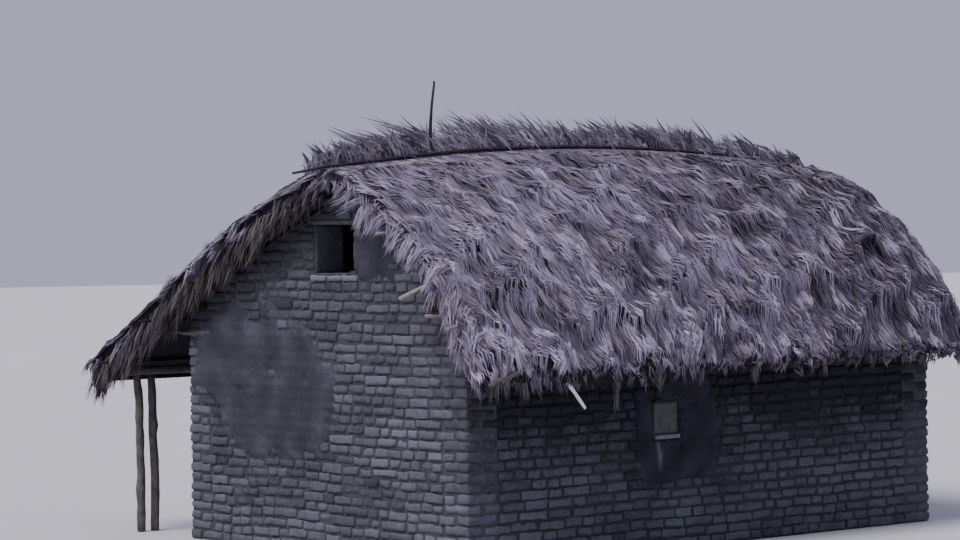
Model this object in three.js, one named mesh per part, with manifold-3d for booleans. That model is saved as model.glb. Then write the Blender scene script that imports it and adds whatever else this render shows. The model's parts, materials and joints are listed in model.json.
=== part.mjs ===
// A thatched mud-brick hut, from ground level up. Millimetres, +Z up.
// The long wall that faces +X is the near side, the porch runs along the -X side,
// and the gable with the window faces -Y.
import * as THREE from 'three';
import { mergeVertices } from 'three/addons/utils/BufferGeometryUtils.js';
import Module from 'manifold-3d';

const wasm = await Module();
wasm.setup();

// Driving dimensions. "Across" is measured from the near wall's outer face towards the porch,
// "along" from the front gable's outer face, and heights from the ground.
const SEAT_GAP = 0.3;
const CUT_MARGIN = 10;
const SAME_CORNER = 0.01;
const MERGE_DISTANCE = 0.001;
const POLE_SIDES = 8;
const BATTEN_SIDES = 6;
const POST_SIDES = 12;
const HUT_LENGTH = 7000;
const HUT_WIDTH = 4950;
const WALL_THICKNESS = 400;
const RIDGE_ACROSS = 2100;
const APEX_WALL_TOP = 3790;

// The line on which the thatch lies, from the ridge down each slope, as [across, height].
const NEAR_SLOPE = [[RIDGE_ACROSS, 4010], [1200, 3720], [600, 3290], [-80, 2510], [-320, 2190]];
const PORCH_SLOPE = [[RIDGE_ACROSS, 4010], [3100, 3640], [4000, 3250], [5550, 2390], [6480, 1910]];

// The top of the thatch, as [across, height, share of the ridge hump].
const CREST_HALF_FLAT = 80;
const CREST_HEIGHT = 4180;
const NEAR_TOP = [
  [RIDGE_ACROSS - CREST_HALF_FLAT, CREST_HEIGHT, 1], [1600, 4060, 0.75], [1070, 3830, 0.4],
  [550, 3440, 0.15], [100, 2970, 0], [-250, 2450, 0], [-490, 2040, 0],
];
const PORCH_TOP = [
  [RIDGE_ACROSS + CREST_HALF_FLAT, CREST_HEIGHT, 1], [2750, 3990, 0.7], [3420, 3720, 0.35],
  [4110, 3405, 0.1], [4860, 2990, 0], [5590, 2570, 0], [6100, 2310, 0], [6650, 2010, 0],
];
const HUMP_HEIGHT = 230;
const HUMP_START = -300;
const HUMP_LENGTH = 7700;

// Thatch edges.
const VERGE_OVERHANG = 240;
const VERGE_FRINGE_DEPTH = 98;
const FRINGE_STEP = 3;
const FRINGE_DROP = 90;
const FRINGE_WAVES = [[0.35, 95], [0.25, 41]];
// The fringe is short by the ridge, as [across, share of its full drop].
const FRINGE_SHARE = [
  [RIDGE_ACROSS - 900, 1], [RIDGE_ACROSS - 300, 0.15], [RIDGE_ACROSS + 1000, 0.15],
  [RIDGE_ACROSS + 2300, 1],
];
const CORNER_DROP = 100;
const EAVE_TIP = { outerInset: 21, outerLift: 40, innerInset: 112, backOut: 20, backDrop: 47 };
const NEAR_DRIP = [[-240, 1930], [1500, 1830], [2900, 1900], [5300, 2010], [7240, 1980]];
const PORCH_DRIP_HEIGHT = 1770;
const THATCH_STEP = 360;

// Timber, all natural poles.
const BATTEN_SIZE = 44;
const RAFTER_SIZE = 84;
const RAFTER_CHAMFER = 18;
const RAFTER_COUNT = 6;
const VERGE_RAFTER_OUT = 95;
const PLATE_RADIUS = 55;
const RIDGE_BEAM_RADIUS = 60;
const EAVE_BEAM_RADIUS = 55;
const BEAM_OVERHANG = 190;
const BED_DEPTH = 12;
const RIDGE_NOTCH = 6;
const PLATE_ACROSS = { near: 200, porch: 4750, eave: 6185 };
const NEAR_BATTENS = [1650, 900, 420, 40, -220];
const PORCH_BATTENS = [2650, 3600, 4500, 5300, 6250];
const BATTEN_OVERHANG = [330, 430, 350, 480, 390];

// Porch.
const POST_RADIUS = 50;
const POST_TOP_RADIUS = 45;
const POST_ALONG = [50, 245, 2400, 4670, 6950];
const TIE_RADIUS = 25;
const TIE_HEIGHT = 2375;
const TIE_SPAN = [4500, 5480];

// Openings.
const GABLE_WINDOW = { across: [1850, 2550], height: [3050, 3585] };
const LINTEL_BEARING = 150;
const WINDOW_LINTEL_DEPTH = 60;
const SIDE_WINDOW = { along: [2635, 3000], height: [1245, 1600] };
const SIDE_BOARD = { setback: 8, thickness: 30 };
const SILL = { projection: 30, thickness: 45 };
const DOOR = { along: [3050, 3950], height: 1900, lintelDepth: 100, bearing: 200 };

// Ridge pieces.
const WEIGHT_POLE_RADIUS = 24;
const WEIGHT_POLE_ACROSS = 2055;
const WEIGHT_POLE_SPAN = [-660, 5800];
const WEIGHT_POLE_DROOP = 70;
const TUFT_HEIGHTS = [250, 330, 290, 370, 310, 390, 320, 270, 300, 240, 290, 310, 260, 230];
const TUFT_SPAN = [-160, 7100];
// The tufts' outline, as [distance out from the ridge, height off the crest, share of the tuft].
const TUFT_OUTLINE = [
  [15, -60, 0], [30, 0, 0.5], [110, 0, 1], [190, 0, 0.9], [420, 0, 0.3], [700, -190, 0],
  [640, -330, 0],
];
const STICK = {
  across: 2150, along: 1340, radius: 17, kinkHeight: 4830, topHeight: 5160, lean: 55, bow: 14,
  steps: 12,
};

const COLOURS = {
  mud: 0x6b6250, timber: 0x6f6250, paleTimber: 0xb0a48c, darkTimber: 0x3b3430,
  straw: 0x8f8592, darkStraw: 0x6d6270, board: 0xa8a294,
};

const hut = new THREE.Group();

// Helpers for placing and combining shapes.
const point = (across, height) => new THREE.Vector2(-across, height);

function addPiece(name, geometry, colour, roughness = 0.95) {
  const material = new THREE.MeshStandardMaterial({ color: colour, roughness, metalness: 0 });
  const mesh = new THREE.Mesh(geometry, material);
  mesh.name = name;
  hut.add(mesh);
  return mesh;
}

function toSolid(geometry) {
  const bare = geometry.clone();
  bare.deleteAttribute('normal');
  bare.deleteAttribute('uv');
  const merged = mergeVertices(bare, MERGE_DISTANCE);
  return new wasm.Manifold(new wasm.Mesh({
    numProp: 3,
    vertProperties: new Float32Array(merged.attributes.position.array),
    triVerts: new Uint32Array(merged.index.array),
  }));
}

function toGeometry(solid) {
  const mesh = solid.getMesh();
  const geometry = new THREE.BufferGeometry();
  geometry.setAttribute('position', new THREE.BufferAttribute(mesh.vertProperties, 3));
  geometry.setIndex(new THREE.BufferAttribute(mesh.triVerts, 1));
  geometry.computeVertexNormals();
  return geometry;
}

function cutAway(geometry, cutters) {
  let solid = toSolid(geometry);
  for (const cutter of cutters) solid = solid.subtract(toSolid(cutter));
  return toGeometry(solid);
}

// A solid whose outline in the across-height plane changes from station to station along Y.
// Every outline has the same number of points, in the same order.
function loft(stations, outlineAt) {
  const first = outlineAt(stations[0], 0);
  const steps = stations.length - 1;
  const geometry = new THREE.ExtrudeGeometry(new THREE.Shape(first), {
    depth: steps, steps, bevelEnabled: false,
  });
  const outlines = stations.map((along, index) => outlineAt(along, index));
  const position = geometry.attributes.position;
  for (let i = 0; i < position.count; i += 1) {
    const x = position.getX(i);
    const z = position.getY(i);
    const corner = first.findIndex((p) => Math.hypot(p.x - x, p.y - z) < SAME_CORNER);
    const station = Math.round(position.getZ(i));
    const target = outlines[station][corner];
    position.setXYZ(i, target.x, stations[station], target.y);
  }
  return faceOutwards(geometry);
}

// Turns every face over where the outline was drawn the other way round.
function faceOutwards(geometry) {
  const position = geometry.attributes.position;
  const a = new THREE.Vector3();
  const b = new THREE.Vector3();
  const c = new THREE.Vector3();
  let volume = 0;
  for (let i = 0; i < position.count; i += 3) {
    a.fromBufferAttribute(position, i);
    b.fromBufferAttribute(position, i + 1);
    c.fromBufferAttribute(position, i + 2);
    volume += a.dot(b.cross(c));
  }
  if (volume < 0) {
    for (let i = 0; i < position.count; i += 3) {
      a.fromBufferAttribute(position, i);
      c.fromBufferAttribute(position, i + 2);
      position.setXYZ(i, c.x, c.y, c.z);
      position.setXYZ(i + 2, a.x, a.y, a.z);
    }
  }
  geometry.computeVertexNormals();
  return geometry;
}

function prism(outline, from, to) {
  return loft([from, to], () => outline);
}

// A regular polygon with one flat turned to the given angle.
function poleOutline(centre, radius, sides, tilt = 0) {
  const outline = [];
  for (let i = 0; i < sides; i += 1) {
    const angle = tilt + Math.PI / 2 + ((i + 0.5) * 2 * Math.PI) / sides;
    const reach = radius / Math.cos(Math.PI / sides);
    outline.push(new THREE.Vector2(
      centre.x + reach * Math.cos(angle), centre.y + reach * Math.sin(angle),
    ));
  }
  return outline;
}

function box(fromX, toX, fromY, toY, fromZ, toZ) {
  const geometry = new THREE.BoxGeometry(toX - fromX, toY - fromY, toZ - fromZ);
  geometry.translate((fromX + toX) / 2, (fromY + toY) / 2, (fromZ + toZ) / 2);
  return geometry;
}

function interpolate(table, at) {
  const last = table.length - 1;
  if (at <= table[0][0]) return table[0][1];
  if (at >= table[last][0]) return table[last][1];
  const index = table.findIndex((row) => row[0] > at);
  const [fromAt, fromValue] = table[index - 1];
  const [toAt, toValue] = table[index];
  return fromValue + ((at - fromAt) / (toAt - fromAt)) * (toValue - fromValue);
}

// The slope lines and their parallels. A run is one straight stretch of a slope.
const slopes = {
  near: NEAR_SLOPE.map(([across, height]) => point(across, height)),
  porch: PORCH_SLOPE.map(([across, height]) => point(across, height)),
};

function runNormal(from, to) {
  const run = to.clone().sub(from).normalize();
  const normal = new THREE.Vector2(-run.y, run.x);
  return normal.y < 0 ? normal.negate() : normal;
}

function parallel(line, distance) {
  return line.map((corner, index) => {
    const last = line.length - 1;
    if (index === 0) {
      const normal = runNormal(line[0], line[1]);
      const clear = Math.sign(line[1].x - line[0].x) * (SEAT_GAP / 2);
      return new THREE.Vector2(corner.x + clear, corner.y + distance / normal.y);
    }
    const before = runNormal(line[index - 1], corner);
    if (index === last) return corner.clone().addScaledVector(before, distance);
    const after = runNormal(corner, line[index + 1]);
    const mitre = before.clone().add(after).divideScalar(1 + before.dot(after));
    return corner.clone().addScaledVector(mitre, distance);
  });
}

// The place on a slope at a distance across, and the angle of the run there.
function placeOnSlope(line, across, distance) {
  const x = -across;
  const index = line.findIndex((corner, i) => (
    i < line.length - 1 && (corner.x - x) * (line[i + 1].x - x) <= 0
  ));
  const [from, to] = [line[index], line[index + 1]];
  const share = (x - from.x) / (to.x - from.x);
  const place = from.clone().lerp(to, share);
  const normal = runNormal(from, to);
  return {
    centre: place.addScaledVector(normal, distance),
    tilt: Math.atan2(normal.y, normal.x) - Math.PI / 2,
  };
}

const BATTEN_CENTRE = -(SEAT_GAP + BATTEN_SIZE / 2);
const RAFTER_TOP = -(2 * SEAT_GAP + BATTEN_SIZE);
const RAFTER_BOTTOM = RAFTER_TOP - RAFTER_SIZE;

// Straight round timbers that run along the hut, each as its solid and as the space it needs.
function longPole(line, across, depth, radius, sides, from, to) {
  const { centre, tilt } = placeOnSlope(line, across, depth);
  return {
    centre,
    solid: prism(poleOutline(centre, radius, sides, tilt), from, to),
    space: prism(
      poleOutline(centre, radius + SEAT_GAP, sides, tilt), from - SEAT_GAP, to + SEAT_GAP,
    ),
  };
}

const beamStart = -BEAM_OVERHANG;
const beamEnd = HUT_LENGTH + BEAM_OVERHANG;
const underRafter = (radius) => RAFTER_BOTTOM - SEAT_GAP - radius;

function makeBearers() {
  const plateDepth = underRafter(PLATE_RADIUS);
  const eaveDepth = underRafter(EAVE_BEAM_RADIUS);
  const bearers = {
    near_wall_plate: longPole(
      slopes.near, PLATE_ACROSS.near, plateDepth, PLATE_RADIUS, POLE_SIDES, beamStart, beamEnd,
    ),
    porch_wall_plate: longPole(
      slopes.porch, PLATE_ACROSS.porch, plateDepth, PLATE_RADIUS, POLE_SIDES, beamStart, beamEnd,
    ),
    porch_eave_beam: longPole(
      slopes.porch, PLATE_ACROSS.eave, eaveDepth, EAVE_BEAM_RADIUS, POLE_SIDES, beamStart, beamEnd,
    ),
  };
  const apex = parallel(slopes.near, RAFTER_BOTTOM)[0];
  const centre = point(RIDGE_ACROSS, apex.y + RIDGE_NOTCH - RIDGE_BEAM_RADIUS);
  bearers.ridge_beam = {
    centre,
    solid: prism(poleOutline(centre, RIDGE_BEAM_RADIUS, POLE_SIDES), beamStart, beamEnd),
    space: prism(
      poleOutline(centre, RIDGE_BEAM_RADIUS + SEAT_GAP, POLE_SIDES),
      beamStart - SEAT_GAP, beamEnd + SEAT_GAP,
    ),
  };
  for (const [name, bearer] of Object.entries(bearers)) {
    addPiece(name, bearer.solid, COLOURS.timber);
  }
  return bearers;
}

// A rafter is a bent pole with chamfered edges, notched over the ridge beam.
function makeRafters(bearers) {
  const firstAlong = -VERGE_RAFTER_OUT;
  const spacing = (HUT_LENGTH + 2 * VERGE_RAFTER_OUT) / (RAFTER_COUNT - 1);
  const half = RAFTER_SIZE / 2;
  const stations = [-half, RAFTER_CHAMFER - half, half - RAFTER_CHAMFER, half];
  const insets = [RAFTER_CHAMFER, 0, 0, RAFTER_CHAMFER];
  for (let i = 0; i < RAFTER_COUNT; i += 1) {
    const along = firstAlong + i * spacing;
    for (const side of ['near', 'porch']) {
      const raw = loft(stations.map((offset) => along + offset), (_, index) => {
        const top = parallel(slopes[side], RAFTER_TOP - insets[index]);
        const bottom = parallel(slopes[side], RAFTER_BOTTOM + insets[index]);
        return [...top, ...bottom.reverse()];
      });
      addPiece(`${side}_rafter_${i + 1}`, cutAway(raw, [bearers.ridge_beam.space]), COLOURS.timber);
    }
  }
}

function makeBattens() {
  const spaces = { near: [], porch: [] };
  const lists = { near: NEAR_BATTENS, porch: PORCH_BATTENS };
  for (const side of ['near', 'porch']) {
    lists[side].forEach((across, index) => {
      const out = BATTEN_OVERHANG[index];
      const batten = longPole(
        slopes[side], across, BATTEN_CENTRE, BATTEN_SIZE / 2, BATTEN_SIDES,
        -out, HUT_LENGTH + out,
      );
      addPiece(`${side}_batten_${index + 1}`, batten.solid, COLOURS.paleTimber);
      spaces[side].push(batten.space);
    });
  }
  return spaces;
}

// Everything above the undersides of the rafters, which the side walls stay clear of.
function rafterSpace() {
  const near = parallel(slopes.near, RAFTER_BOTTOM - SEAT_GAP);
  const porch = parallel(slopes.porch, RAFTER_BOTTOM - SEAT_GAP);
  const skyLine = CREST_HEIGHT * 2;
  const outline = [
    ...porch.slice(1).reverse(), point(RIDGE_ACROSS, near[0].y), ...near.slice(1),
    new THREE.Vector2(near[near.length - 1].x, skyLine),
    new THREE.Vector2(porch[porch.length - 1].x, skyLine),
  ];
  return prism(outline, 0, HUT_LENGTH);
}

// Walls. A gable rises to the undersides of the rafters and is cut off below the ridge.
function gableOutline() {
  const near = parallel(slopes.near, RAFTER_BOTTOM - SEAT_GAP);
  const porch = parallel(slopes.porch, RAFTER_BOTTOM - SEAT_GAP);
  const roofLine = [...porch.slice(1).reverse(), ...near.slice(1)].map((p) => [p.x, p.y]);
  const heightAt = (across) => interpolate(roofLine, -across);
  const apexAcross = (line) => {
    const [from, to] = [line[0], line[1]];
    const share = (APEX_WALL_TOP - from.y) / (to.y - from.y);
    return -(from.x + share * (to.x - from.x));
  };
  const inner = (line, limit) => line.slice(1).filter((p) => limit(-p.x));
  return [
    point(0, 0),
    point(0, heightAt(0)),
    ...inner(near, (across) => across > 0).reverse(),
    point(apexAcross(near), APEX_WALL_TOP),
    point(apexAcross(porch), APEX_WALL_TOP),
    ...inner(porch, (across) => across < HUT_WIDTH),
    point(HUT_WIDTH, heightAt(HUT_WIDTH)),
    point(HUT_WIDTH, 0),
  ];
}

function windowWithLintelHole() {
  const [near, far] = GABLE_WINDOW.across;
  const [sill, head] = GABLE_WINDOW.height;
  const top = head + WINDOW_LINTEL_DEPTH + 2 * SEAT_GAP;
  const bearing = LINTEL_BEARING + SEAT_GAP;
  return [
    point(near, sill), point(near, head), point(near - bearing, head),
    point(near - bearing, top), point(far + bearing, top), point(far + bearing, head),
    point(far, head), point(far, sill),
  ];
}

function makeGables(bearers) {
  const spaces = Object.values(bearers).map((bearer) => bearer.space);
  const rear = prism(gableOutline(), HUT_LENGTH - WALL_THICKNESS, HUT_LENGTH);
  const solidFront = prism(gableOutline(), 0, WALL_THICKNESS);
  const hole = prism(windowWithLintelHole(), -CUT_MARGIN, WALL_THICKNESS + CUT_MARGIN);
  addPiece('front_gable_wall', cutAway(solidFront, [hole, ...spaces]), COLOURS.mud);
  addPiece('rear_gable_wall', cutAway(rear, spaces), COLOURS.mud);
  const [near, far] = GABLE_WINDOW.across;
  const head = GABLE_WINDOW.height[1] + SEAT_GAP;
  addPiece('gable_window_lintel', box(
    -(far + LINTEL_BEARING), -(near - LINTEL_BEARING), 0, WALL_THICKNESS,
    head, head + WINDOW_LINTEL_DEPTH,
  ), COLOURS.timber);
}

function makeSideWalls(bearers) {
  const roof = rafterSpace();
  const innerStart = WALL_THICKNESS + SEAT_GAP;
  const innerEnd = HUT_LENGTH - WALL_THICKNESS - SEAT_GAP;
  const topUnder = (bearer, radius) => bearer.centre.y - radius + BED_DEPTH;

  const nearTop = topUnder(bearers.near_wall_plate, PLATE_RADIUS);
  const [from, to] = SIDE_WINDOW.along;
  const [sill, head] = SIDE_WINDOW.height;
  const sillBottom = sill - SILL.thickness;
  const opening = box(-WALL_THICKNESS - CUT_MARGIN, CUT_MARGIN, from, to, sill, head);
  const sillPocket = box(
    -SIDE_BOARD.setback - SIDE_BOARD.thickness - SEAT_GAP, CUT_MARGIN,
    from - SEAT_GAP, to + SEAT_GAP, sillBottom - SEAT_GAP, sill,
  );
  const nearWall = box(-WALL_THICKNESS, 0, innerStart, innerEnd, 0, nearTop);
  addPiece('near_side_wall', cutAway(
    nearWall, [roof, opening, sillPocket, bearers.near_wall_plate.space],
  ), COLOURS.mud);
  addPiece('side_window_sill', box(
    -SIDE_BOARD.setback - SIDE_BOARD.thickness, SILL.projection,
    from, to, sillBottom, sill - SEAT_GAP,
  ), COLOURS.board);
  addPiece('side_window_board', box(
    -SIDE_BOARD.setback - SIDE_BOARD.thickness, -SIDE_BOARD.setback,
    from + SEAT_GAP, to - SEAT_GAP, sill, head - SEAT_GAP,
  ), COLOURS.board);

  const porchTop = topUnder(bearers.porch_wall_plate, PLATE_RADIUS);
  const outer = -HUT_WIDTH;
  const inner = -HUT_WIDTH + WALL_THICKNESS;
  const [doorFrom, doorTo] = DOOR.along;
  const lintelTop = DOOR.height + DOOR.lintelDepth;
  const plateSpace = bearers.porch_wall_plate.space;
  const pocket = box(
    outer - CUT_MARGIN, inner + CUT_MARGIN,
    doorFrom - DOOR.bearing - SEAT_GAP, doorTo + DOOR.bearing + SEAT_GAP,
    DOOR.height - SEAT_GAP, lintelTop + SEAT_GAP,
  );
  const front = box(outer, inner, innerStart, doorFrom, 0, porchTop);
  const rear = box(outer, inner, doorTo, innerEnd, 0, porchTop);
  const over = box(
    outer, inner, doorFrom + SEAT_GAP, doorTo - SEAT_GAP, lintelTop + SEAT_GAP, porchTop,
  );
  addPiece('porch_side_wall_front', cutAway(front, [roof, pocket, plateSpace]), COLOURS.mud);
  addPiece('porch_side_wall_rear', cutAway(rear, [roof, pocket, plateSpace]), COLOURS.mud);
  addPiece('porch_side_wall_over_door', cutAway(over, [roof, plateSpace]), COLOURS.mud);
  addPiece('door_lintel', box(
    outer, inner, doorFrom - DOOR.bearing, doorTo + DOOR.bearing, DOOR.height, lintelTop,
  ), COLOURS.timber);
}

function makePorch(bearers) {
  const beam = bearers.porch_eave_beam;
  POST_ALONG.forEach((along, index) => {
    const height = beam.centre.y;
    const post = new THREE.CylinderGeometry(POST_TOP_RADIUS, POST_RADIUS, height, POST_SIDES);
    post.rotateX(Math.PI / 2);
    post.translate(beam.centre.x, along, height / 2);
    addPiece(`porch_post_${index + 1}`, cutAway(post, [beam.space]), COLOURS.paleTimber);
  });
  const [from, to] = TIE_SPAN;
  const toCorner = TIE_RADIUS / Math.cos(Math.PI / POLE_SIDES);
  const tie = new THREE.CylinderGeometry(toCorner, toCorner, to - from, POLE_SIDES);
  tie.rotateZ(Math.PI / 2);
  tie.rotateX(Math.PI / POLE_SIDES);
  tie.translate(-(from + to) / 2, -(TIE_RADIUS + SEAT_GAP), TIE_HEIGHT);
  addPiece('porch_tie_front', tie, COLOURS.paleTimber);
}

// Thatch. The crest carries a long low hump, and the fringes hang below the battens.
const hump = (along) => (
  HUMP_HEIGHT * Math.sin((Math.PI * (along - HUMP_START)) / HUMP_LENGTH)
);
const crestAt = (along) => CREST_HEIGHT + hump(along);

function thatchStations() {
  const start = -VERGE_OVERHANG;
  const end = HUT_LENGTH + VERGE_OVERHANG;
  const fringeIn = start + VERGE_FRINGE_DEPTH;
  const fringeOut = end - VERGE_FRINGE_DEPTH;
  const count = Math.round((fringeOut - fringeIn) / THATCH_STEP);
  const middle = [];
  for (let i = 1; i < count; i += 1) {
    middle.push(fringeIn + ((fringeOut - fringeIn) * i) / count);
  }
  return [
    start, fringeIn - FRINGE_STEP, fringeIn, ...middle, fringeOut, fringeOut + FRINGE_STEP, end,
  ];
}

// The crest of the finished solids, which is straight between stations.
const crestLine = () => thatchStations().map((along) => [along, crestAt(along)]);

function fringeDepth(across) {
  const full = FRINGE_WAVES.reduce(
    (depth, [share, width]) => depth + share * Math.sin(across / width), 1,
  );
  return FRINGE_DROP * full * interpolate(FRINGE_SHARE, across);
}

function thatchOutline(side, along) {
  const top = side === 'near' ? NEAR_TOP : PORCH_TOP;
  const outward = side === 'near' ? -1 : 1;
  const lift = hump(along);
  const fringeIn = -VERGE_OVERHANG + VERGE_FRINGE_DEPTH - FRINGE_STEP / 2;
  const inFringe = along < fringeIn || along > HUT_LENGTH - fringeIn;
  const ridge = point(RIDGE_ACROSS + outward * (SEAT_GAP / 2), CREST_HEIGHT + lift);
  const upper = top.map(([across, height, share]) => point(across, height + share * lift));
  const line = side === 'near' ? NEAR_SLOPE : PORCH_SLOPE;
  const [tipAcross, tipHeight] = top[top.length - 1];
  const [eaveAcross] = line[line.length - 1];
  const drip = side === 'near' ? interpolate(NEAR_DRIP, along) : PORCH_DRIP_HEIGHT;
  const tipDrop = inFringe ? CORNER_DROP : 0;
  const outerDrip = point(
    tipAcross - outward * EAVE_TIP.outerInset, drip + EAVE_TIP.outerLift - tipDrop,
  );
  const innerDrip = point(tipAcross - outward * EAVE_TIP.innerInset, drip - tipDrop);
  const inside = point(eaveAcross + outward * EAVE_TIP.backOut, tipHeight - EAVE_TIP.backDrop);
  const under = line.map(([across, height], index) => {
    const drop = inFringe ? fringeDepth(across) : 0;
    const clear = index === 0 ? outward * (SEAT_GAP / 2) : 0;
    return point(across + clear, height - drop);
  }).reverse();
  return [ridge, ...upper, outerDrip, innerDrip, inside, ...under];
}

function makeThatch(battenSpaces, bearers) {
  const stations = thatchStations();
  const covers = {};
  for (const side of ['near', 'porch']) {
    const raw = loft(stations, (along) => thatchOutline(side, along));
    const spaces = [...battenSpaces[side], bearers.ridge_beam.space];
    covers[side] = cutAway(raw, spaces);
    addPiece(`${side}_thatch`, covers[side], COLOURS.straw);
  }
  return covers;
}

// The ridge pole lies on the crest, on the near side of the standing straw.
function makeWeightPole() {
  const [from, to] = WEIGHT_POLE_SPAN;
  const onThatch = thatchStations().filter((along) => along < to);
  const stations = [from, (from - VERGE_OVERHANG) / 2, ...onThatch, to];
  const outlineAt = (along) => {
    const inFront = Math.min(0, along + VERGE_OVERHANG);
    const droop = (inFront / (from + VERGE_OVERHANG)) * WEIGHT_POLE_DROOP;
    const onCrest = interpolate(crestLine(), along);
    const height = onCrest - droop + WEIGHT_POLE_RADIUS + SEAT_GAP;
    return poleOutline(point(WEIGHT_POLE_ACROSS, height), WEIGHT_POLE_RADIUS, POLE_SIDES);
  };
  addPiece('ridge_weight_pole', loft(stations, outlineAt), COLOURS.darkTimber);
}

function stickPath(foot) {
  const { across, along, kinkHeight, topHeight, lean, bow } = STICK;
  return new THREE.CatmullRomCurve3([
    new THREE.Vector3(-across, along, foot),
    new THREE.Vector3(-across, along - bow, (foot + kinkHeight) / 2),
    new THREE.Vector3(-across, along, kinkHeight),
    new THREE.Vector3(-across, along + lean, topHeight),
  ]);
}

function stickSolid(foot, radius) {
  const outline = new THREE.Shape(poleOutline(new THREE.Vector2(0, 0), radius, POLE_SIDES));
  return faceOutwards(new THREE.ExtrudeGeometry(outline, {
    steps: STICK.steps, bevelEnabled: false, extrudePath: stickPath(foot),
  }));
}

// Straw ends stand up in ragged tufts along the porch side of the ridge.
function makeRidgeThatch(covers) {
  const [from, to] = TUFT_SPAN;
  const last = TUFT_HEIGHTS.length - 1;
  const stations = TUFT_HEIGHTS.map((_, index) => from + ((to - from) * index) / last);
  const raw = loft(stations, (along, index) => {
    const crest = crestAt(along);
    return TUFT_OUTLINE.map(([out, rise, share]) => (
      point(RIDGE_ACROSS + out, crest + rise + share * TUFT_HEIGHTS[index])
    ));
  });
  const lifted = covers.porch.clone().translate(0, 0, SEAT_GAP);
  const foot = interpolate(crestLine(), STICK.along) + SEAT_GAP;
  const hole = stickSolid(foot - 2 * SEAT_GAP, STICK.radius + SEAT_GAP);
  addPiece('ridge_thatch', cutAway(raw, [lifted, hole]), COLOURS.darkStraw);
  addPiece('ridge_stick', stickSolid(foot, STICK.radius), COLOURS.darkTimber);
}

const bearers = makeBearers();
makeGables(bearers);
makeSideWalls(bearers);
makeRafters(bearers);
const battenSpaces = makeBattens();
makePorch(bearers);
const covers = makeThatch(battenSpaces, bearers);
makeWeightPole();
makeRidgeThatch(covers);

// The origin is on the ground, below the middle of the whole hut.
const bounds = new THREE.Box3().setFromObject(hut);
const middle = bounds.getCenter(new THREE.Vector3());
hut.position.set(-middle.x, -middle.y, -bounds.min.z);

export default hut;
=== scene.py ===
# The looks of a thatched mud-brick hut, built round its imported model. Metres, +Z up.
# The ridge runs along Y. The near slope falls towards +X, and the porch slope towards -X.
import json
import math
from functools import lru_cache
from itertools import product

import bpy
import numpy as np
from mathutils import Euler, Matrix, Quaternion, Vector
from mathutils.bvhtree import BVHTree


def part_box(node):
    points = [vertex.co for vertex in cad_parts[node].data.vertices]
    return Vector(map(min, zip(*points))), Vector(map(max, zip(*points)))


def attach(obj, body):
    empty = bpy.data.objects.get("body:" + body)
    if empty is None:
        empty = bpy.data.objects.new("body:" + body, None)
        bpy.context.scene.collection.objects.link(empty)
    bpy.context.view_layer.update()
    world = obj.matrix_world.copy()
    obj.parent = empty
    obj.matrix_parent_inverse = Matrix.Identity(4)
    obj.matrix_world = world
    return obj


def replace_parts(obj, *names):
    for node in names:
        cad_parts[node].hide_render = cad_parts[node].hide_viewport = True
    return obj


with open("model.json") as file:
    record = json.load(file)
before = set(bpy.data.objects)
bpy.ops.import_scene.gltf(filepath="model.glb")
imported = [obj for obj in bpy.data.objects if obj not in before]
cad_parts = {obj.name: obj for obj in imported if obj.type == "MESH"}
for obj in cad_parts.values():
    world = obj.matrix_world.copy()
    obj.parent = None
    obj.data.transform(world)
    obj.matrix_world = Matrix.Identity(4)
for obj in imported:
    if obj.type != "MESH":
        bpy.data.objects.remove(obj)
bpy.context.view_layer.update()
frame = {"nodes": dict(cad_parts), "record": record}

nodes = frame["nodes"]
slot_of = {part["node"]: part["material_slot"] for part in frame["record"]["subparts"]}
front_low, front_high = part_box("front_gable_wall")
rear_low, rear_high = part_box("rear_gable_wall")

# The numbers of the axes.
X, Y, Z = range(3)

# The photograph's view: a camera at eye height on a slope, with a long lens.
PHOTO_WIDTH = 960
PHOTO_HEIGHT = 540
FOCAL_PIXELS = 3200
SENSOR_WIDTH = 36
CAMERA_PLACE = (28.46, -24.50, 3.6)
VIEW_AZIMUTH = math.radians(50)
HORIZON_ROW = 221
CAMERA_ROLL = math.radians(-0.9)

# Masonry. Bricks stand proud of the CAD wall, between a least and a most.
COURSE = 0.11
BRICK_HEIGHT = 0.1
BRICK_DEPTH = 0.08
STRETCHER = 0.40
THREE_QUARTER = 0.30
HEADER = 0.20
LENGTH_SHARES = (0.22, 0.33, 0.45)
JOINT = 0.01
EDGE_ROUND = 0.03
PROUD = 0.02
LEAST_PROUD = 0.01
MOST_PROUD = 0.026
MOST_TURN = 0.02
CORNER_TOP = 2.42
RIDGE_TO_PORCH_WALL = 2.7
# A wall's top is read at places along it. An end that is clear to within a margin is the wall's own.
FACE_PROBES = 120
FACE_INSET = 0.01
PROBE_DEPTH = 0.02
END_MARGIN = 0.02
# Cut bricks keep off the holes. A stretch of a course below the first two sizes is left free.
HOLE_CLEARANCE = 0.004
LEAST_LENGTH = 0.04
LEAST_HEIGHT = 0.03
LEAST_HALF_LENGTH = 0.03
LEAST_HALF_HEIGHT = 0.014
# The rounding, wear, dents and grit of a brick. Its rounding is at most a share of its half size.
MOST_ROUND = 0.8
SIDE_WEAR = 0.35
DENT_DEPTH = 0.0055
DENT_WIDTH = 0.12
GRIT = 0.0024
# How much single bricks differ: their lean, their turn, how far they stand out, and their tone.
BRICK_LEAN = 0.014
BRICK_TURN = 0.012
BRICK_OUT = 0.007
BRICK_TONE = 0.075
CORNER_TONE = 0.06
# A brick longer than this has more grid lines along it.
LONG_BRICK = 0.25
# The tone mark of an even surface. Above it is paler, and below it is darker.
EVEN_TONE = 0.5
# Painted eave shade on the side walls: none below the first height, and full above the second.
PAINTED_SHADE_LOW = 0.8
PAINTED_SHADE_HIGH = 1.8
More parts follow.
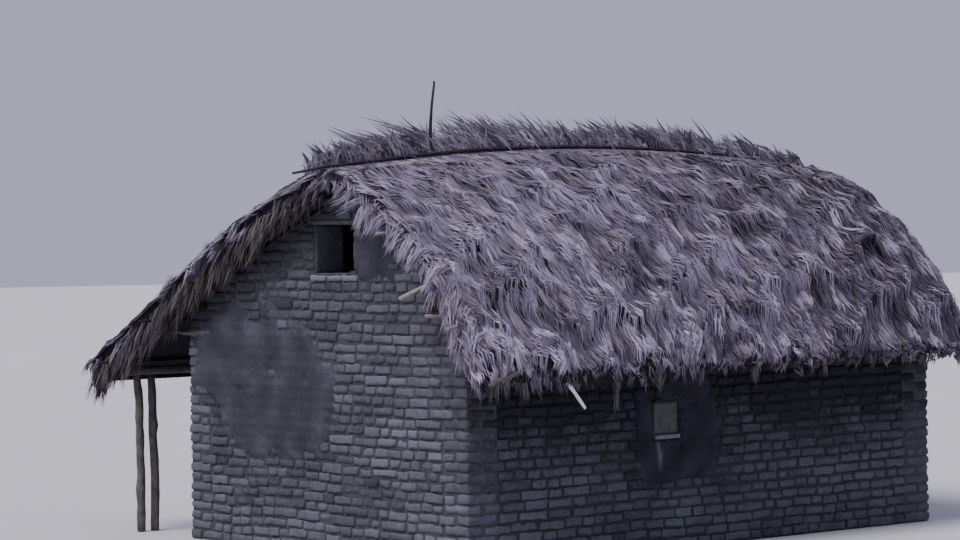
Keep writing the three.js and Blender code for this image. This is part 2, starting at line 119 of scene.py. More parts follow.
# Painted shade on bricks: what those close below a slope lose in tone, how far down that reaches, and the
# loss by the porch.
PORCH_ROOF_SHADE = -0.5
NEAR_ROOF_SHADE = -0.2
ROOF_SHADE_REACH = 0.42
PORCH_SHADE = 0.15

# The gable window and the paler bricks below it.
WINDOW_LEFT = 0.53
WINDOW_RIGHT = 1.23
WINDOW_SILL = 3.05
WINDOW_HEAD = 3.585
SILL_OVERLAP = 0.07
SILL_HEIGHT = 0.088
SILL_COUNT = 3
SILL_PROUD = 0.03
SILL_TONE = 0.85
JAMB_TONE = 0.36
LINED_SILL_TONE = 0.55

# Mud plaster. Its rim sinks between the bricks.
PLASTER_STEP = 0.024
PLASTER_THICKNESS = 0.042
PLASTER_SWELL = 0.003
PLASTER_RIM_TONE = 0.15
PLASTER_RIM = 0.1
PLASTER_OFF_HOLE = 0.012
# Ovals of plaster on the window gable: distance along X, height, half width and half height.
GABLE_PLASTER = [
    (1.58, 3.27, 0.36, 0.32), (-0.95, 2.1, 0.9, 0.56), (0.1, 2.12, 0.5, 0.4), (-0.2, 1.5, 1.1, 0.5),
    (0.55, 1.8, 0.34, 0.3),
]
# Ovals by the side window: distance past the sill's middle, height, half width and half height.
SIDE_PLASTER = [
    (0.48, 1.25, 0.36, 0.5), (-0.05, 0.95, 0.45, 0.24), (0.27, 1.72, 0.45, 0.2), (-0.32, 1.4, 0.1, 0.4),
]
# The lime run starts at the sill and fades out above a height. It is aside of the sill's middle.
LIME_END = 0.84
LIME_FADE = 0.16
LIME_ASIDE = 0.14
LIME_WIDTH = 0.024

# Poles. One grain radius gives all poles the same fibre.
POLE_SIDES = 12
POLE_ANGLES = 2 * math.pi * np.arange(POLE_SIDES) / POLE_SIDES
GRAIN_RADIUS = 0.05
# How far apart knots are, their length, how much of the way round they take, and how high they stand.
KNOT_GAP = 0.9
KNOT_LENGTH = 0.05
KNOT_TURN = 0.35
KNOT_HEIGHT = 0.28

# Straw. A cover's top is read at a grid of places.
COVER_ROWS = 60
COVER_COLUMNS = 80
COVER_INSET = 0.004
STRAW_WIDTH = 0.021
STRAND_RISE = 0.05
TUFT_SPREAD = 0.026
SHADE_SPREAD = 0.016
HEAP = 0.1
COURSE_GAP = 0.44
LEDGE = 0.08
EAVE_REACH = 0.08
VERGE_REACH = 0.16
VERGE_DROOP = 0.9
RIDGE_RISE = 0.3
HEADING_SPREAD = 0.22
SLOPE_LENGTH = (0.24, 0.46)
LEDGE_LENGTH = (0.24, 0.38)
VERGE_LENGTH = (0.25, 0.45)
MAT_BELOW = 0.014
MAT_SPACING = 0.08
MAT_INSET = 0.03
# How far the ridge's straw leans to the porch and the front, as a share of its height.
RIDGE_LEAN = 0.75
# Shades of straw, from 0, dark, to 1, pale, and what makes a slope's straw paler or darker.
SLOPE_SHADE = 0.39
# Painted light and shade: how much paler heaps and darker hollows are.
PAINTED_HEAP_LIGHT = 0.17
RIDGE_GLOW = 0.1
# Painted shade: how much darker the slope's rear is.
REAR_GLOOM = 0.38
EAVE_SHADE = 0.5
VERGE_SHADE = 0.56
FRINGE_SHADE = 0.44
RIDGE_SHADE = 0.33
# How far places stray from even rows, as a share of the gap between them.
STRAY = 0.4


# Small tools.
def tree_of(node):
    """The shape of a CAD node, for finding places on it."""
    mesh = nodes[node].data
    corners = [vertex.co.copy() for vertex in mesh.vertices]
    return BVHTree.FromPolygons(corners, [list(face.vertices) for face in mesh.polygons])


def top_at(tree, x, y, sky):
    """The height of a CAD node's top over a plan place, or 0 past its edge."""
    hit = tree.ray_cast(Vector((x, y, sky + 1)), Vector((0, 0, -1)))[0]
    return hit.z if hit else 0.0


def ripples(points, wavelength, seed, waves=9):
    """Smooth random heights of about -1 to 1: a sum of waves in random directions."""
    draw = np.random.default_rng(seed)
    points = np.asarray(points, float)
    directions = draw.normal(size=(waves, points.shape[-1]))
    directions /= np.linalg.norm(directions, axis=1)[:, None]
    rates = 2 * math.pi / wavelength * draw.uniform(0.6, 1.6, waves)
    phases = draw.uniform(0, 2 * math.pi, waves)
    return np.sin(points @ (directions * rates[:, None]).T + phases).sum(-1) / math.sqrt(waves)


def layered(points, seed, *layers, base=0.0):
    """Ripples of several sizes on top of a base. Each layer is a height and a wavelength."""
    for number, (height, wavelength) in enumerate(layers):
        base = base + height * ripples(points, wavelength, seed + number)
    return base


def wobble(points, wavelength, seed, waves=9):
    """Ripples along each of the three axes."""
    return np.stack([ripples(points, wavelength, seed + axis, waves) for axis in range(3)], -1)


def strayed(draw, values, reach):
    """The same values, each a little off, by about a reach."""
    return values + draw.normal(0, reach, values.size)


def unit(vectors):
    """The vectors at length 1."""
    return vectors / np.linalg.norm(vectors, axis=-1, keepdims=True)


def sheet_faces(rows, columns):
    """The faces of a grid of places."""
    index = np.arange(rows * columns).reshape(rows, columns)
    corner = (index[:-1, :-1], index[1:, :-1], index[1:, 1:], index[:-1, 1:])
    return np.stack([part.ravel() for part in corner], -1)


def as_colour(values):
    """One number for each vertex, as the four numbers of a colour."""
    return np.repeat(np.ravel(values)[:, None], 4, axis=1)


def add_object(name, data):
    made = bpy.data.objects.new(name, data)
    bpy.context.scene.collection.objects.link(made)
    return made


def add_mesh(name, vertices, faces, material, marks=None, smooth=True):
    """One piece on the hut's only body. marks are named colours, four numbers for each vertex."""
    mesh = bpy.data.meshes.new(name)
    mesh.from_pydata(vertices, [], faces)
    mesh.materials.append(material)
    mesh.polygons.foreach_set("use_smooth", [smooth] * len(mesh.polygons))
    for mark, values in (marks or {}).items():
        layer = mesh.attributes.new(mark, "FLOAT_COLOR", "POINT")
        layer.data.foreach_set("color", np.ascontiguousarray(values, np.float32).ravel())
    piece = add_object(name, mesh)
    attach(piece, "root")
    return piece


# Materials.
BLACK = (0, 0, 0)
WHITE = (1, 1, 1)


class Graph:
    """A material with a Principled shader, and short ways to add nodes to it."""

    def __init__(self, name, roughness, specular):
        self.material = bpy.data.materials.new(name)
        self.material.use_nodes = True
        self.tree = self.material.node_tree
        self.shader = self.tree.nodes["Principled BSDF"]
        self.shader.inputs["Roughness"].default_value = roughness
        self.shader.inputs["Specular IOR Level"].default_value = specular

    def node(self, kind, inputs=None, **settings):
        made = self.tree.nodes.new(kind)
        for key, value in settings.items():
            setattr(made, key, value)
        for key, value in (inputs or {}).items():
            self.feed(made.inputs[key], value)
        return made

    def feed(self, socket, value):
        """A link where the value is another node's socket, or else a fixed value."""
        if isinstance(value, bpy.types.NodeSocket):
            self.tree.links.new(value, socket)
        else:
            socket.default_value = value

    def place(self, stretch=(1, 1, 1)):
        """The place in the row frame, with each axis stretched."""
        where = self.node("ShaderNodeTexCoord").outputs["Object"]
        return self.stretched(where, stretch)

    def stretched(self, where, stretch):
        return self.node("ShaderNodeMapping", {"Vector": where, "Scale": stretch}).outputs[0]

    def mark(self, name, output="Fac"):
        return self.node("ShaderNodeAttribute", attribute_name=name).outputs[output]

    def upright(self, vector):
        return self.node("ShaderNodeSeparateXYZ", {0: vector}).outputs["Z"]

    def noise(self, where, scale, detail=4.0, roughness=0.6):
        return self.node("ShaderNodeTexNoise", {
            "Vector": where, "Scale": scale, "Detail": detail, "Roughness": roughness,
        }).outputs["Fac"]

    def ramp(self, value, stops):
        made = self.node("ShaderNodeValToRGB", {"Fac": value})
        elements = made.color_ramp.elements
        while len(elements) < len(stops):
            elements.new(0.5)
        for element, (at, colour) in zip(elements, stops):
            element.position = at
            element.color = (*colour, 1)
        return made.outputs["Color"]

    def blend(self, share, first, second, kind="MIX"):
        made = self.node("ShaderNodeMix", data_type="RGBA", blend_type=kind)
        self.feed(made.inputs[0], share)
        for index, colour in ((6, first), (7, second)):
            fixed = isinstance(colour, tuple)
            self.feed(made.inputs[index], (*colour, 1) if fixed else colour)
        return made.outputs[2]

    def shaded(self, share, colour, shade):
        """A colour made darker by a shade."""
        return self.blend(share, colour, shade, "MULTIPLY")

    def math(self, kind, first, second):
        return self.node("ShaderNodeMath", {0: first, 1: second}, operation=kind).outputs[0]

    def scaled(self, value, weight):
        return self.math("MULTIPLY", value, weight)

    def centred(self, value):
        return self.math("SUBTRACT", value, 0.5)

    def total(self, first, *others):
        for value in others:
            first = self.math("ADD", first, value)
        return first

    def finish(self, colour, bump=None, depth=0.004):
        self.tree.links.new(colour, self.shader.inputs["Base Color"])
        if bump is not None:
            relief = self.node("ShaderNodeBump", {"Height": bump, "Distance": depth})
            self.tree.links.new(relief.outputs[0], self.shader.inputs["Normal"])
        return self.material


def mud_material(name, dark, middle, light, depth=0.006, lime=None, painted_eave_shade=None):
    """Sun-dried mud with lumps, pits and bits of chopped straw. The tone mark shades each brick.

    The eave shade, if given, is the share of its brightness that is left under an eave: painted shade that
    darkens the finish from the first shade height up to the second."""
    graph = Graph(name, roughness=0.95, specular=0.15)
    where = graph.place()
    broad = graph.noise(where, 3.1, 3)
    lumps = graph.noise(where, 22, 6, 0.65)
    fine = graph.noise(where, 140, 4, 0.7)
    tone = graph.centred(graph.mark("tone"))
    value = graph.total(graph.scaled(lumps, 0.5), graph.scaled(broad, 0.38), graph.scaled(tone, 0.75))
    colour = graph.ramp(value, [(0.15, dark), (0.43, middle), (0.72, light)])
    chaff = graph.node("ShaderNodeTexVoronoi", {
        "Vector": graph.place((1, 1, 3.5)), "Scale": 48, "Randomness": 1,
    }).outputs["Distance"]
    bits = graph.ramp(chaff, [(0.0, WHITE), (0.13, BLACK)])
    colour = graph.blend(graph.scaled(bits, 0.35), colour, light)
    pits = graph.ramp(fine, [(0.36, (0.35, 0.35, 0.35)), (0.5, WHITE)])
    colour = graph.shaded(0.6, colour, pits)
    if lime is not None:
        colour = graph.blend(graph.mark("lime"), colour, lime)
    # Painted shade: darker with height, up under the eave.
    if painted_eave_shade is not None:
        height = graph.math("DIVIDE", graph.upright(where), CORNER_TOP)
        stops = [(PAINTED_SHADE_LOW / CORNER_TOP, WHITE), (PAINTED_SHADE_HIGH / CORNER_TOP, (painted_eave_shade,) * 3)]
        colour = graph.shaded(1.0, colour, graph.ramp(height, stops))
    return graph.finish(colour, graph.total(lumps, graph.scaled(fine, 0.45)), depth)


def straw_material(name, dark, middle, pale, warm):
    """Weathered straw in fine stems. The straw mark holds each lock's shade, the distance from its root,
    its tone and the place across it."""
    graph = Graph(name, roughness=0.75, specular=0.25)
    mark = graph.node("ShaderNodeAttribute", attribute_name="straw").outputs
    shade, along, tone = graph.node("ShaderNodeSeparateColor", {"Color": mark["Color"]}).outputs
    stems = graph.node("ShaderNodeCombineXYZ", {
        0: graph.scaled(mark["Alpha"], 3.0), 1: along, 2: graph.scaled(shade, 60.0),
    }).outputs[0]
    streak = graph.noise(stems, 2.2, 3)
    value = graph.total(shade, graph.scaled(graph.centred(streak), 0.2))
    colour = graph.ramp(value, [(0.0, dark), (0.42, middle), (0.95, pale)])
    yellow = graph.ramp(tone, [(0.72, BLACK), (0.95, WHITE)])
    colour = graph.blend(graph.scaled(yellow, 0.7), colour, warm)
    # Painted shade: strands are darker towards their roots, where they go in under other strands.
    root = graph.ramp(along, [(0.0, (0.78, 0.77, 0.78)), (0.4, WHITE)])
    return graph.finish(graph.shaded(0.85, colour, root))


def bed_material():
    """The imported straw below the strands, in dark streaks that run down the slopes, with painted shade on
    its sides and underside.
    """
    graph = Graph("straw bed", roughness=0.9, specular=0.15)
    streaks = graph.noise(graph.place((1, 7, 1)), 16, 5, 0.65)
    clumps = graph.noise(graph.place(), 7, 3)
    value = graph.total(graph.scaled(streaks, 0.7), graph.scaled(clumps, 0.3))
    colour = graph.ramp(value, [
        (0.3, (0.075, 0.066, 0.085)), (0.52, (0.15, 0.13, 0.168)), (0.72, (0.23, 0.2, 0.255)),
    ])
    # Painted shade: faces that do not face up, such as the eave's edge, are darker.
    facing = graph.node("ShaderNodeNewGeometry").outputs["Normal"]
    painted_underside_shade = graph.ramp(graph.upright(facing), [(0.3, (0.16, 0.15, 0.16)), (0.6, WHITE)])
    return graph.finish(graph.shaded(1.0, colour, painted_underside_shade), streaks, 0.02)


def pole_material(name, dark, middle, light, crack=0.5):
    """Natural pole wood. The grain mark holds the place on the pole, with its length last."""
    graph = Graph(name, roughness=0.8, specular=0.2)
    along = graph.stretched(graph.mark("grain", "Vector"), (1, 1, 0.09))
    fibre = graph.noise(along, 150, 5, 0.65)
    patches = graph.noise(graph.place(), 9)
    value = graph.total(graph.scaled(fibre, 0.6), graph.scaled(patches, 0.4))
    colour = graph.ramp(value, [(0.33, dark), (0.5, middle), (0.66, light)])
    cracks = graph.ramp(graph.noise(along, 60, 3), [(0.38, (0.25, 0.22, 0.2)), (0.45, WHITE)])
    return graph.finish(graph.shaded(crack, colour, cracks), fibre)


def board_material(name, dark, middle, light):
    """A plank with its grain upright, and stains."""
    graph = Graph(name, roughness=0.75, specular=0.2)
    grain = graph.noise(graph.place((9, 9, 0.5)), 14, 5)
    stains = graph.noise(graph.place(), 11)
    value = graph.total(graph.scaled(grain, 0.65), graph.scaled(stains, 0.35))
    colour = graph.ramp(value, [(0.34, dark), (0.5, middle), (0.68, light)])
    return graph.finish(colour, grain, 0.003)


def floor_material():
    graph = Graph("studio floor", roughness=0.95, specular=0.1)
    speckle = graph.noise(graph.place(), 0.4, 3)
    return graph.finish(graph.ramp(speckle, [(0.3, (0.6, 0.595, 0.6)), (0.7, (0.64, 0.635, 0.635))]))


# Finishes, each with its colours from dark to light.
gable_mortar = mud_material(
    "gable mud joints", (0.07, 0.07, 0.082), (0.145, 0.145, 0.168), (0.23, 0.23, 0.265),
)
# The side walls' finishes are darker copies of the gable ones: painted shade for walls that lie in shade.
# The side joints also take painted eave shade.
side_mortar = mud_material(
    "side mud joints", (0.044, 0.044, 0.055), (0.125, 0.126, 0.154), (0.2, 0.203, 0.246),
    painted_eave_shade=0.35,
)
gable_brick = mud_material(
    "gable mud brick", (0.05, 0.049, 0.057), (0.115, 0.115, 0.135), (0.19, 0.19, 0.222),
)
# Darker than the gable brick: painted shade on the side walls.
side_brick = mud_material(
    "side mud brick", (0.024, 0.024, 0.031), (0.09, 0.092, 0.113), (0.15, 0.155, 0.186),
)
gable_plaster = mud_material(
    "gable mud plaster", (0.03, 0.029, 0.036), (0.052, 0.05, 0.064), (0.088, 0.085, 0.106), 0.004,
)
# Darker than the gable plaster: painted shade on the side walls.
side_plaster = mud_material(
    "side mud plaster", (0.014, 0.014, 0.02), (0.026, 0.026, 0.038), (0.046, 0.046, 0.062), 0.004,
    lime=(0.14, 0.126, 0.19),
)
straw = straw_material(
    "grey straw", (0.08, 0.069, 0.095), (0.195, 0.17, 0.23), (0.5, 0.45, 0.57), (0.3, 0.245, 0.255),
)
dark_straw = straw_material(
    "old straw", (0.05, 0.045, 0.06), (0.165, 0.145, 0.19), (0.42, 0.38, 0.48), (0.28, 0.23, 0.23),
)
# Browner, darker straw for the fringes under the eaves and verges: a browner hue of its own, and darkness
# that is painted shade.
brown_shaded_straw = straw_material(
    "brown straw", (0.03, 0.026, 0.03), (0.1, 0.085, 0.096), (0.27, 0.235, 0.27), (0.2, 0.16, 0.14),
)
straw_bed = bed_material()
# Very dark bark: the bark's own colour, darkened further as painted shade for poles under the thatch.
shaded_bark = pole_material("shaded_bark", (0.009, 0.008, 0.008), (0.022, 0.019, 0.019), (0.048, 0.042, 0.041))
grey_timber = pole_material("grey timber", (0.03, 0.029, 0.034), (0.08, 0.077, 0.09), (0.15, 0.145, 0.165))
weathered = pole_material("weathered pole", (0.05, 0.044, 0.04), (0.11, 0.1, 0.094), (0.2, 0.185, 0.176))
peeled = pole_material("peeled pole", (0.16, 0.14, 0.125), (0.3, 0.275, 0.26), (0.46, 0.43, 0.41))
dark_wood = pole_material("dark pole", (0.012, 0.01, 0.013), (0.032, 0.027, 0.034), (0.075, 0.066, 0.08))
# A near-white stick: its pale wood, brightened further as a painted highlight for the sun catching its end.
white_glint_wood = pole_material("white stick", (0.8, 0.79, 0.82), (0.9, 0.9, 0.92), (0.95, 0.95, 0.96), 0.05)
olive_wood = pole_material("olive stick", (0.06, 0.057, 0.046), (0.12, 0.115, 0.095), (0.2, 0.19, 0.16))
plank = board_material("bleached plank", (0.042, 0.04, 0.044), (0.084, 0.081, 0.087), (0.128, 0.124, 0.13))
# A pale limed plank for the side window's sill: limewash of its own, and paleness that is a painted
# highlight of skylight on its top.
limed_and_lit_plank = board_material("limed plank", (0.09, 0.083, 0.11), (0.16, 0.147, 0.2), (0.24, 0.22, 0.29))


# Camera, light and floor.
def make_camera():
    data = bpy.data.cameras.new("photo view")
    data.sensor_width = SENSOR_WIDTH
    data.lens = FOCAL_PIXELS / PHOTO_WIDTH * SENSOR_WIDTH
    data.clip_end = 500
    camera = add_object("photo view", data)
    pitch = math.atan((PHOTO_HEIGHT / 2 - HORIZON_ROW) / FOCAL_PIXELS)
    level = Euler((math.pi / 2 - pitch, 0, VIEW_AZIMUTH)).to_quaternion()
    camera.rotation_mode = "QUATERNION"
    camera.rotation_quaternion = level @ Quaternion((0, 0, 1), CAMERA_ROLL)
    camera.location = CAMERA_PLACE
    bpy.context.scene.camera = camera


def make_lights():
    """A pale sky, a soft sun, and a weak lamp in the room."""
    world = bpy.data.worlds.new("studio")
    world.use_nodes = True
    sky = world.node_tree.nodes["Background"]
    sky.inputs["Color"].default_value = (0.74, 0.75, 1.0, 1)
    sky.inputs["Strength"].default_value = 0.6
    bpy.context.scene.world = world
    sun = bpy.data.lights.new("soft key", "SUN")
    sun.energy = 3.0
    sun.angle = math.radians(32)
    sun.color = (0.97, 0.94, 1.0)
    key = add_object("soft key", sun)
    towards = Vector((0.03, -0.68, 1.0))
    key.rotation_mode = "QUATERNION"
    key.rotation_quaternion = towards.to_track_quat("Z", "Y")
    lamp = bpy.data.lights.new("room fill", "POINT")
    lamp.energy = 5
    lamp.shadow_soft_size = 0.6
    add_object("room fill", lamp).location = (0.6, 0, 2.0)


def make_floor():
    reach = 160
    below = -0.002
    corners = 64
    turns = [2 * math.pi * number / corners for number in range(corners)]
    rim = [(reach * math.cos(turn), reach * math.sin(turn), below) for turn in turns]
    mesh = bpy.data.meshes.new("floor")
    mesh.from_pydata(rim, [], [list(range(corners))])
    mesh.materials.append(floor_material())
    add_object("floor", mesh)


# Bricks.
class WallFace:
    """One outer face of a wall: a plan line from start to end, a normal that points out, and heights
    above the ground. A level face has one top all along, the median of what is read."""

    def __init__(self, node, start, end, normal, holes=(), level=False):
        self.start = np.array(start, float)
        self.length = float(np.linalg.norm(np.subtract(end, start)))
        self.way = np.subtract(end, start) / self.length
        self.normal = np.array(normal, float)
        self.holes = holes
        low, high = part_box(node)
        self.base = low.z
        self.steps = np.linspace(FACE_INSET, self.length - FACE_INSET, FACE_PROBES)
        tree = tree_of(node)
        just_inside = self.start - PROBE_DEPTH * self.normal
        places = [just_inside + along * self.way for along in self.steps]
        self.tops = np.array([top_at(tree, *place, high.z) for place in places])
        if level:
            self.tops[:] = np.median(self.tops)

    def stretches(self, low, high, insets):
        """The clear parts of a course, as start, end, low and high, past the holes and below the top."""
        clear = self.steps[self.tops >= high]
        if not len(clear):
            return []
        start = clear[0] if clear[0] > END_MARGIN else insets[0]
        end = clear[-1] if clear[-1] < self.length - END_MARGIN else self.length - insets[1]
        spans = [(start, end, low, high)]
        for left, right, bottom, top in self.holes:
            parts = []
            for start, end, under, over in spans:
                if under >= top or over <= bottom or start >= right or end <= left:
                    parts.append((start, end, under, over))
                    continue
                inner = max(start, left), min(end, right)
                parts += [(start, left, under, over), (right, end, under, over)]
                parts += [(*inner, under, bottom - HOLE_CLEARANCE), (*inner, top + HOLE_CLEARANCE, over)]
            spans = [
                (start, end, under, over) for start, end, under, over in parts
                if end - start > LEAST_LENGTH and over - under > LEAST_HEIGHT
            ]
        return spans

    def point(self, along, out, height):
        """Places in the row frame from distances along the face and out from it."""
        along, out, height = np.broadcast_arrays(along, out, height)
        plan = self.start + along[..., None] * self.way + out[..., None] * self.normal
        return np.concatenate([plan, height[..., None]], -1)


@lru_cache
def block_grid(counts, plain_back=False):
    """A closed box as grid corners and outward faces. counts are each axis' cells. The back is -Y."""
    corners = {}
    faces = []

    def corner(axis, side, column, row):
        place = [0, 0, 0]
        place[axis], place[(axis + 1) % 3], place[(axis + 2) % 3] = side * counts[axis], column, row
        return corners.setdefault(tuple(place), len(corners))

    for axis, side in product(range(3), (0, 1)):
        if plain_back and axis == 1 and side == 0:
            continue
        for column, row in product(range(counts[(axis + 1) % 3]), range(counts[(axis + 2) % 3])):
            around = ((0, 0), (1, 0), (1, 1), (0, 1))
            quad = [corner(axis, side, column + right, row + up) for right, up in around]
            faces.append(quad if side else quad[::-1])
    if plain_back:
        wide, _, tall = counts
        rim = [(i, 0, 0) for i in range(wide)] + [(wide, 0, k) for k in range(tall)]
        rim += [(i, 0, tall) for i in range(wide, 0, -1)] + [(0, 0, k) for k in range(tall, 0, -1)]
        faces.append([corners[place] for place in rim])
    return np.array(list(corners)), faces


def grid_place(grid, lines):
    """The places of grid corners, given each axis' grid lines from -1 to 1."""
    return np.stack([np.asarray(lines[axis], float)[grid[:, axis]] for axis in range(3)], -1)


def rounded_lines(half, edge, inner):
    """Grid lines from -1 to 1 with one line close to each end, for a rounded edge."""
    near_end = 1 - edge / half
    return [-1.0, *np.linspace(-near_end, near_end, inner), 1.0]


def rounded(place, half, edge):
    """The places of a block with its edges rounded to a radius."""
    core = np.clip(place, edge - half, half - edge)
    out = place - core
    length = np.linalg.norm(out, axis=1, keepdims=True)
    return core + out / np.maximum(length, 1e-9) * edge


def wear_corners(place, corners, kept_shares):
    """Moves the places in, by what each corner of the block keeps of its height and length."""
    across, upward = (corners[:, X] + 1) / 2, (corners[:, Z] + 1) / 2
    for axis, amount in ((Z, 1.0), (X, SIDE_WEAR)):
        kept = 1 - amount * (1 - kept_shares[axis // 2])
        lower = kept[0, 0] * (1 - across) + kept[1, 0] * across
        upper = kept[0, 1] * (1 - across) + kept[1, 1] * across
        place[:, axis] *= lower * (1 - upward) + upper * upward


class Masonry:
    """Rounded, worn blocks, gathered into one mesh."""

    def __init__(self, seed):
        self.draw = np.random.default_rng(seed)
        self.vertices = []
        self.faces = []
        self.tones = []
        self.count = 0

    def worn_block(self, half, inner, warp=0.15, plain_back=True):
        """One block about its own middle: odd corners, rounded edges and dents."""
        draw = self.draw
        edge = min(EDGE_ROUND, MOST_ROUND * min(half)) * draw.uniform(0.6, 1.2)
        grid, faces = block_grid(tuple(n + 1 if n else 1 for n in inner), plain_back)
        lines = [rounded_lines(size, edge, n) if n else [-1.0, 1.0] for size, n in zip(half, inner)]
        corners = grid_place(grid, lines)
        place = rounded(corners * half, np.array(half), edge)
        wear_corners(place, corners, 1 - warp * draw.random((2, 2, 2)) ** 2)
        dents = wobble(place, DENT_WIDTH, int(draw.integers(1 << 30)), 5)
        return place + DENT_DEPTH * dents + draw.normal(0, GRIT, place.shape), faces

    def add(self, vertices, faces, tone):
        self.vertices.append(vertices)
        self.faces += [[index + self.count for index in face] for face in faces]
        self.tones.append(np.full(len(vertices), tone))
        self.count += len(vertices)

    def finish(self, name, material, record_slot, **marks):
        marks = {"tone": as_colour(np.concatenate(self.tones)), **marks}
        return add_mesh(name, np.concatenate(self.vertices), self.faces, material, marks)


def course_wave(along, height, seed):
    """How far a course has sunk or risen from level."""
    where = np.stack(np.broadcast_arrays(along, height * 0.35), -1)
    return layered(where, seed, (0.013, 2.6), (0.006, 0.7))


def broad_tone(along, height, seed):
    """Where a wall is paler or darker as a whole."""
    where = np.array([along, 1.6 * height])
    return float(layered(where, seed + 2, (0.13, 2.2), (0.09, 0.8)))


def painted_roof_shade(face, along, height):
    """Painted shade: bricks close below the roof are darker, and most so below the porch slope."""
    below = np.interp(along, face.steps, face.tops) - height
    from_porch = abs(face.point(along, 0, height)[0] - front_low.x)
    towards_porch = np.clip(1 - from_porch / RIDGE_TO_PORCH_WALL, 0, 1)
    most = PORCH_ROOF_SHADE if towards_porch > 0 else NEAR_ROOF_SHADE
    return most * math.exp(-max(below, 0) / ROOF_SHADE_REACH) - PORCH_SHADE * towards_porch


def brick_lengths(draw, span):
    """Stretchers, headers and odd sizes that fill a stretch of a course."""
    lengths = []
    while sum(lengths) < span:
        size = draw.choice([STRETCHER, THREE_QUARTER, HEADER], p=LENGTH_SHARES)
        lengths.append(size * draw.uniform(0.82, 1.12))
    if len(lengths) > 1 and sum(lengths) - span > lengths[-1] / 2:
        lengths.pop()
    return np.array(lengths) * span / sum(lengths)


def lay_brick(masonry, face, middle, length, low, under, over, seed, shade, contrast):
    """One brick from under to over, turned and tilted a little. A whole one follows its course's wave."""
    draw = masonry.draw
    half = (
        max(length / 2 - draw.uniform(0.15, 0.9) * JOINT, LEAST_HALF_LENGTH),
        BRICK_DEPTH / 2,
        max((over - under) / 2 + draw.normal(0.001, 0.003), LEAST_HALF_HEIGHT),
    )
    block, faces = masonry.worn_block(half, (5 if length > LONG_BRICK else 3, 0, 3))
    lean = draw.normal(0, BRICK_LEAN)
    height = block[:, 2] + lean * block[:, 0] + draw.normal(0, 0.002)
    turn = np.clip(draw.normal(0, BRICK_TURN), -MOST_TURN, MOST_TURN)
    proud = max(PROUD + draw.normal(0, BRICK_OUT), LEAST_PROUD + abs(turn) * half[0])
    out = block[:, 1] - BRICK_DEPTH / 2 + min(proud, MOST_PROUD) + turn * block[:, 0]
    level = (under + over) / 2
    whole = over - under > BRICK_HEIGHT - 0.001
    if whole:
        level += course_wave(middle, low, seed)
    tone = EVEN_TONE + contrast * (draw.normal(0, BRICK_TONE) + broad_tone(middle, level, seed))
    above_ground = max(level, BRICK_HEIGHT / 2 + 0.012)
    places = face.point(middle + block[:, 0], out, height + above_ground)
    masonry.add(places, faces, tone + shade(middle, level))


def lay_bricks(masonry, face, seed, corner_ends=(False, False), shade=lambda *place: 0.0, contrast=1.0):
    """Courses of bricks over a wall face. Where an end is a hut corner, its corner blocks stay free."""
    half_joint = (COURSE - BRICK_HEIGHT) / 2
    on_gable = abs(face.normal[1]) > 0.5
    for course in range(round(face.base / COURSE), int(max(face.tops) / COURSE)):
        low = course * COURSE
        corner_length = STRETCHER if (course % 2 == 1) == on_gable else HEADER
        insets = [corner_length if corner and low < CORNER_TOP else 0 for corner in corner_ends]
        parts = face.stretches(low + half_joint, low + COURSE - half_joint, insets)
        for start, end, under, over in parts:
            along = start
            for length in brick_lengths(masonry.draw, end - start):
                middle = along + length / 2
                along += length
                lay_brick(masonry, face, middle, length, low, under, over, seed, shade, contrast)


def lay_corners():
    """Full bricks at the hut's four corners, turned the other way in every second course."""
    masonry = Masonry(41)
    draw = masonry.draw
    for x, y in ((front_high.x, front_low.y), (rear_high.x, rear_high.y),
                 (rear_low.x, rear_high.y), (front_low.x, front_low.y)):
        for course in range(int(CORNER_TOP / COURSE)):
            size, inner = (HEADER, STRETCHER), (3, 5, 3)
            if course % 2:
                size, inner = (STRETCHER, HEADER), (5, 3, 3)
            half = np.array([*(np.array(size) / 2 - JOINT / 2), BRICK_HEIGHT / 2])
            block, faces = masonry.worn_block(half, inner, warp=0.1, plain_back=False)
            middle = np.array([x, y]) - np.sign([x, y]) * (half[:2] - PROUD - draw.normal(0, 0.002, 2))
            lifted = 0.006
            centre = np.array([*middle, course * COURSE + COURSE / 2 + lifted])
            tone = EVEN_TONE + draw.normal(0, CORNER_TONE)
            # Near-side corner bricks take part of the near wall's tone, with its painted eave shade.
            if x > 0:
                tone += 0.4 * near_tone(y - front_low.y, centre[2])
            masonry.add(block + centre, faces, tone)
    corners = masonry.finish("corner_bricks", gable_brick, "gable_brick")
    # Faces along X take the darker side brick: painted shade on the corners' sides.
    corners.data.materials.append(side_brick)
    normals = np.zeros(3 * len(corners.data.polygons))
    corners.data.polygons.foreach_get("normal", normals)
    on_side = np.abs(normals.reshape(-1, 3)[:, 0]) > 0.6
    corners.data.polygons.foreach_set("material_index", on_side.astype(int))


def front_face():
    lintel_low, lintel_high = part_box("gable_window_lintel")
    holes = [(left - front_low.x, right - front_low.x, low, high) for left, right, low, high in (
        (WINDOW_LEFT, WINDOW_RIGHT, WINDOW_SILL, WINDOW_HEAD),
        (lintel_low.x, lintel_high.x, lintel_low.z, lintel_high.z),
        (WINDOW_LEFT - SILL_OVERLAP, WINDOW_RIGHT + SILL_OVERLAP, WINDOW_SILL - SILL_HEIGHT, WINDOW_SILL),
    )]
    return WallFace(
        "front_gable_wall", (front_low.x, front_low.y), (front_high.x, front_low.y), (0, -1), holes,
    )


def near_face():
    boxes = [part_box("side_window_board"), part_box("side_window_sill")]
    start = front_low.y
    holes = [(low.y - start, high.y - start, low.z, high.z) for low, high in boxes]
    return WallFace(
        "near_side_wall", (front_high.x, start), (front_high.x, rear_high.y), (1, 0), holes, level=True,
    )


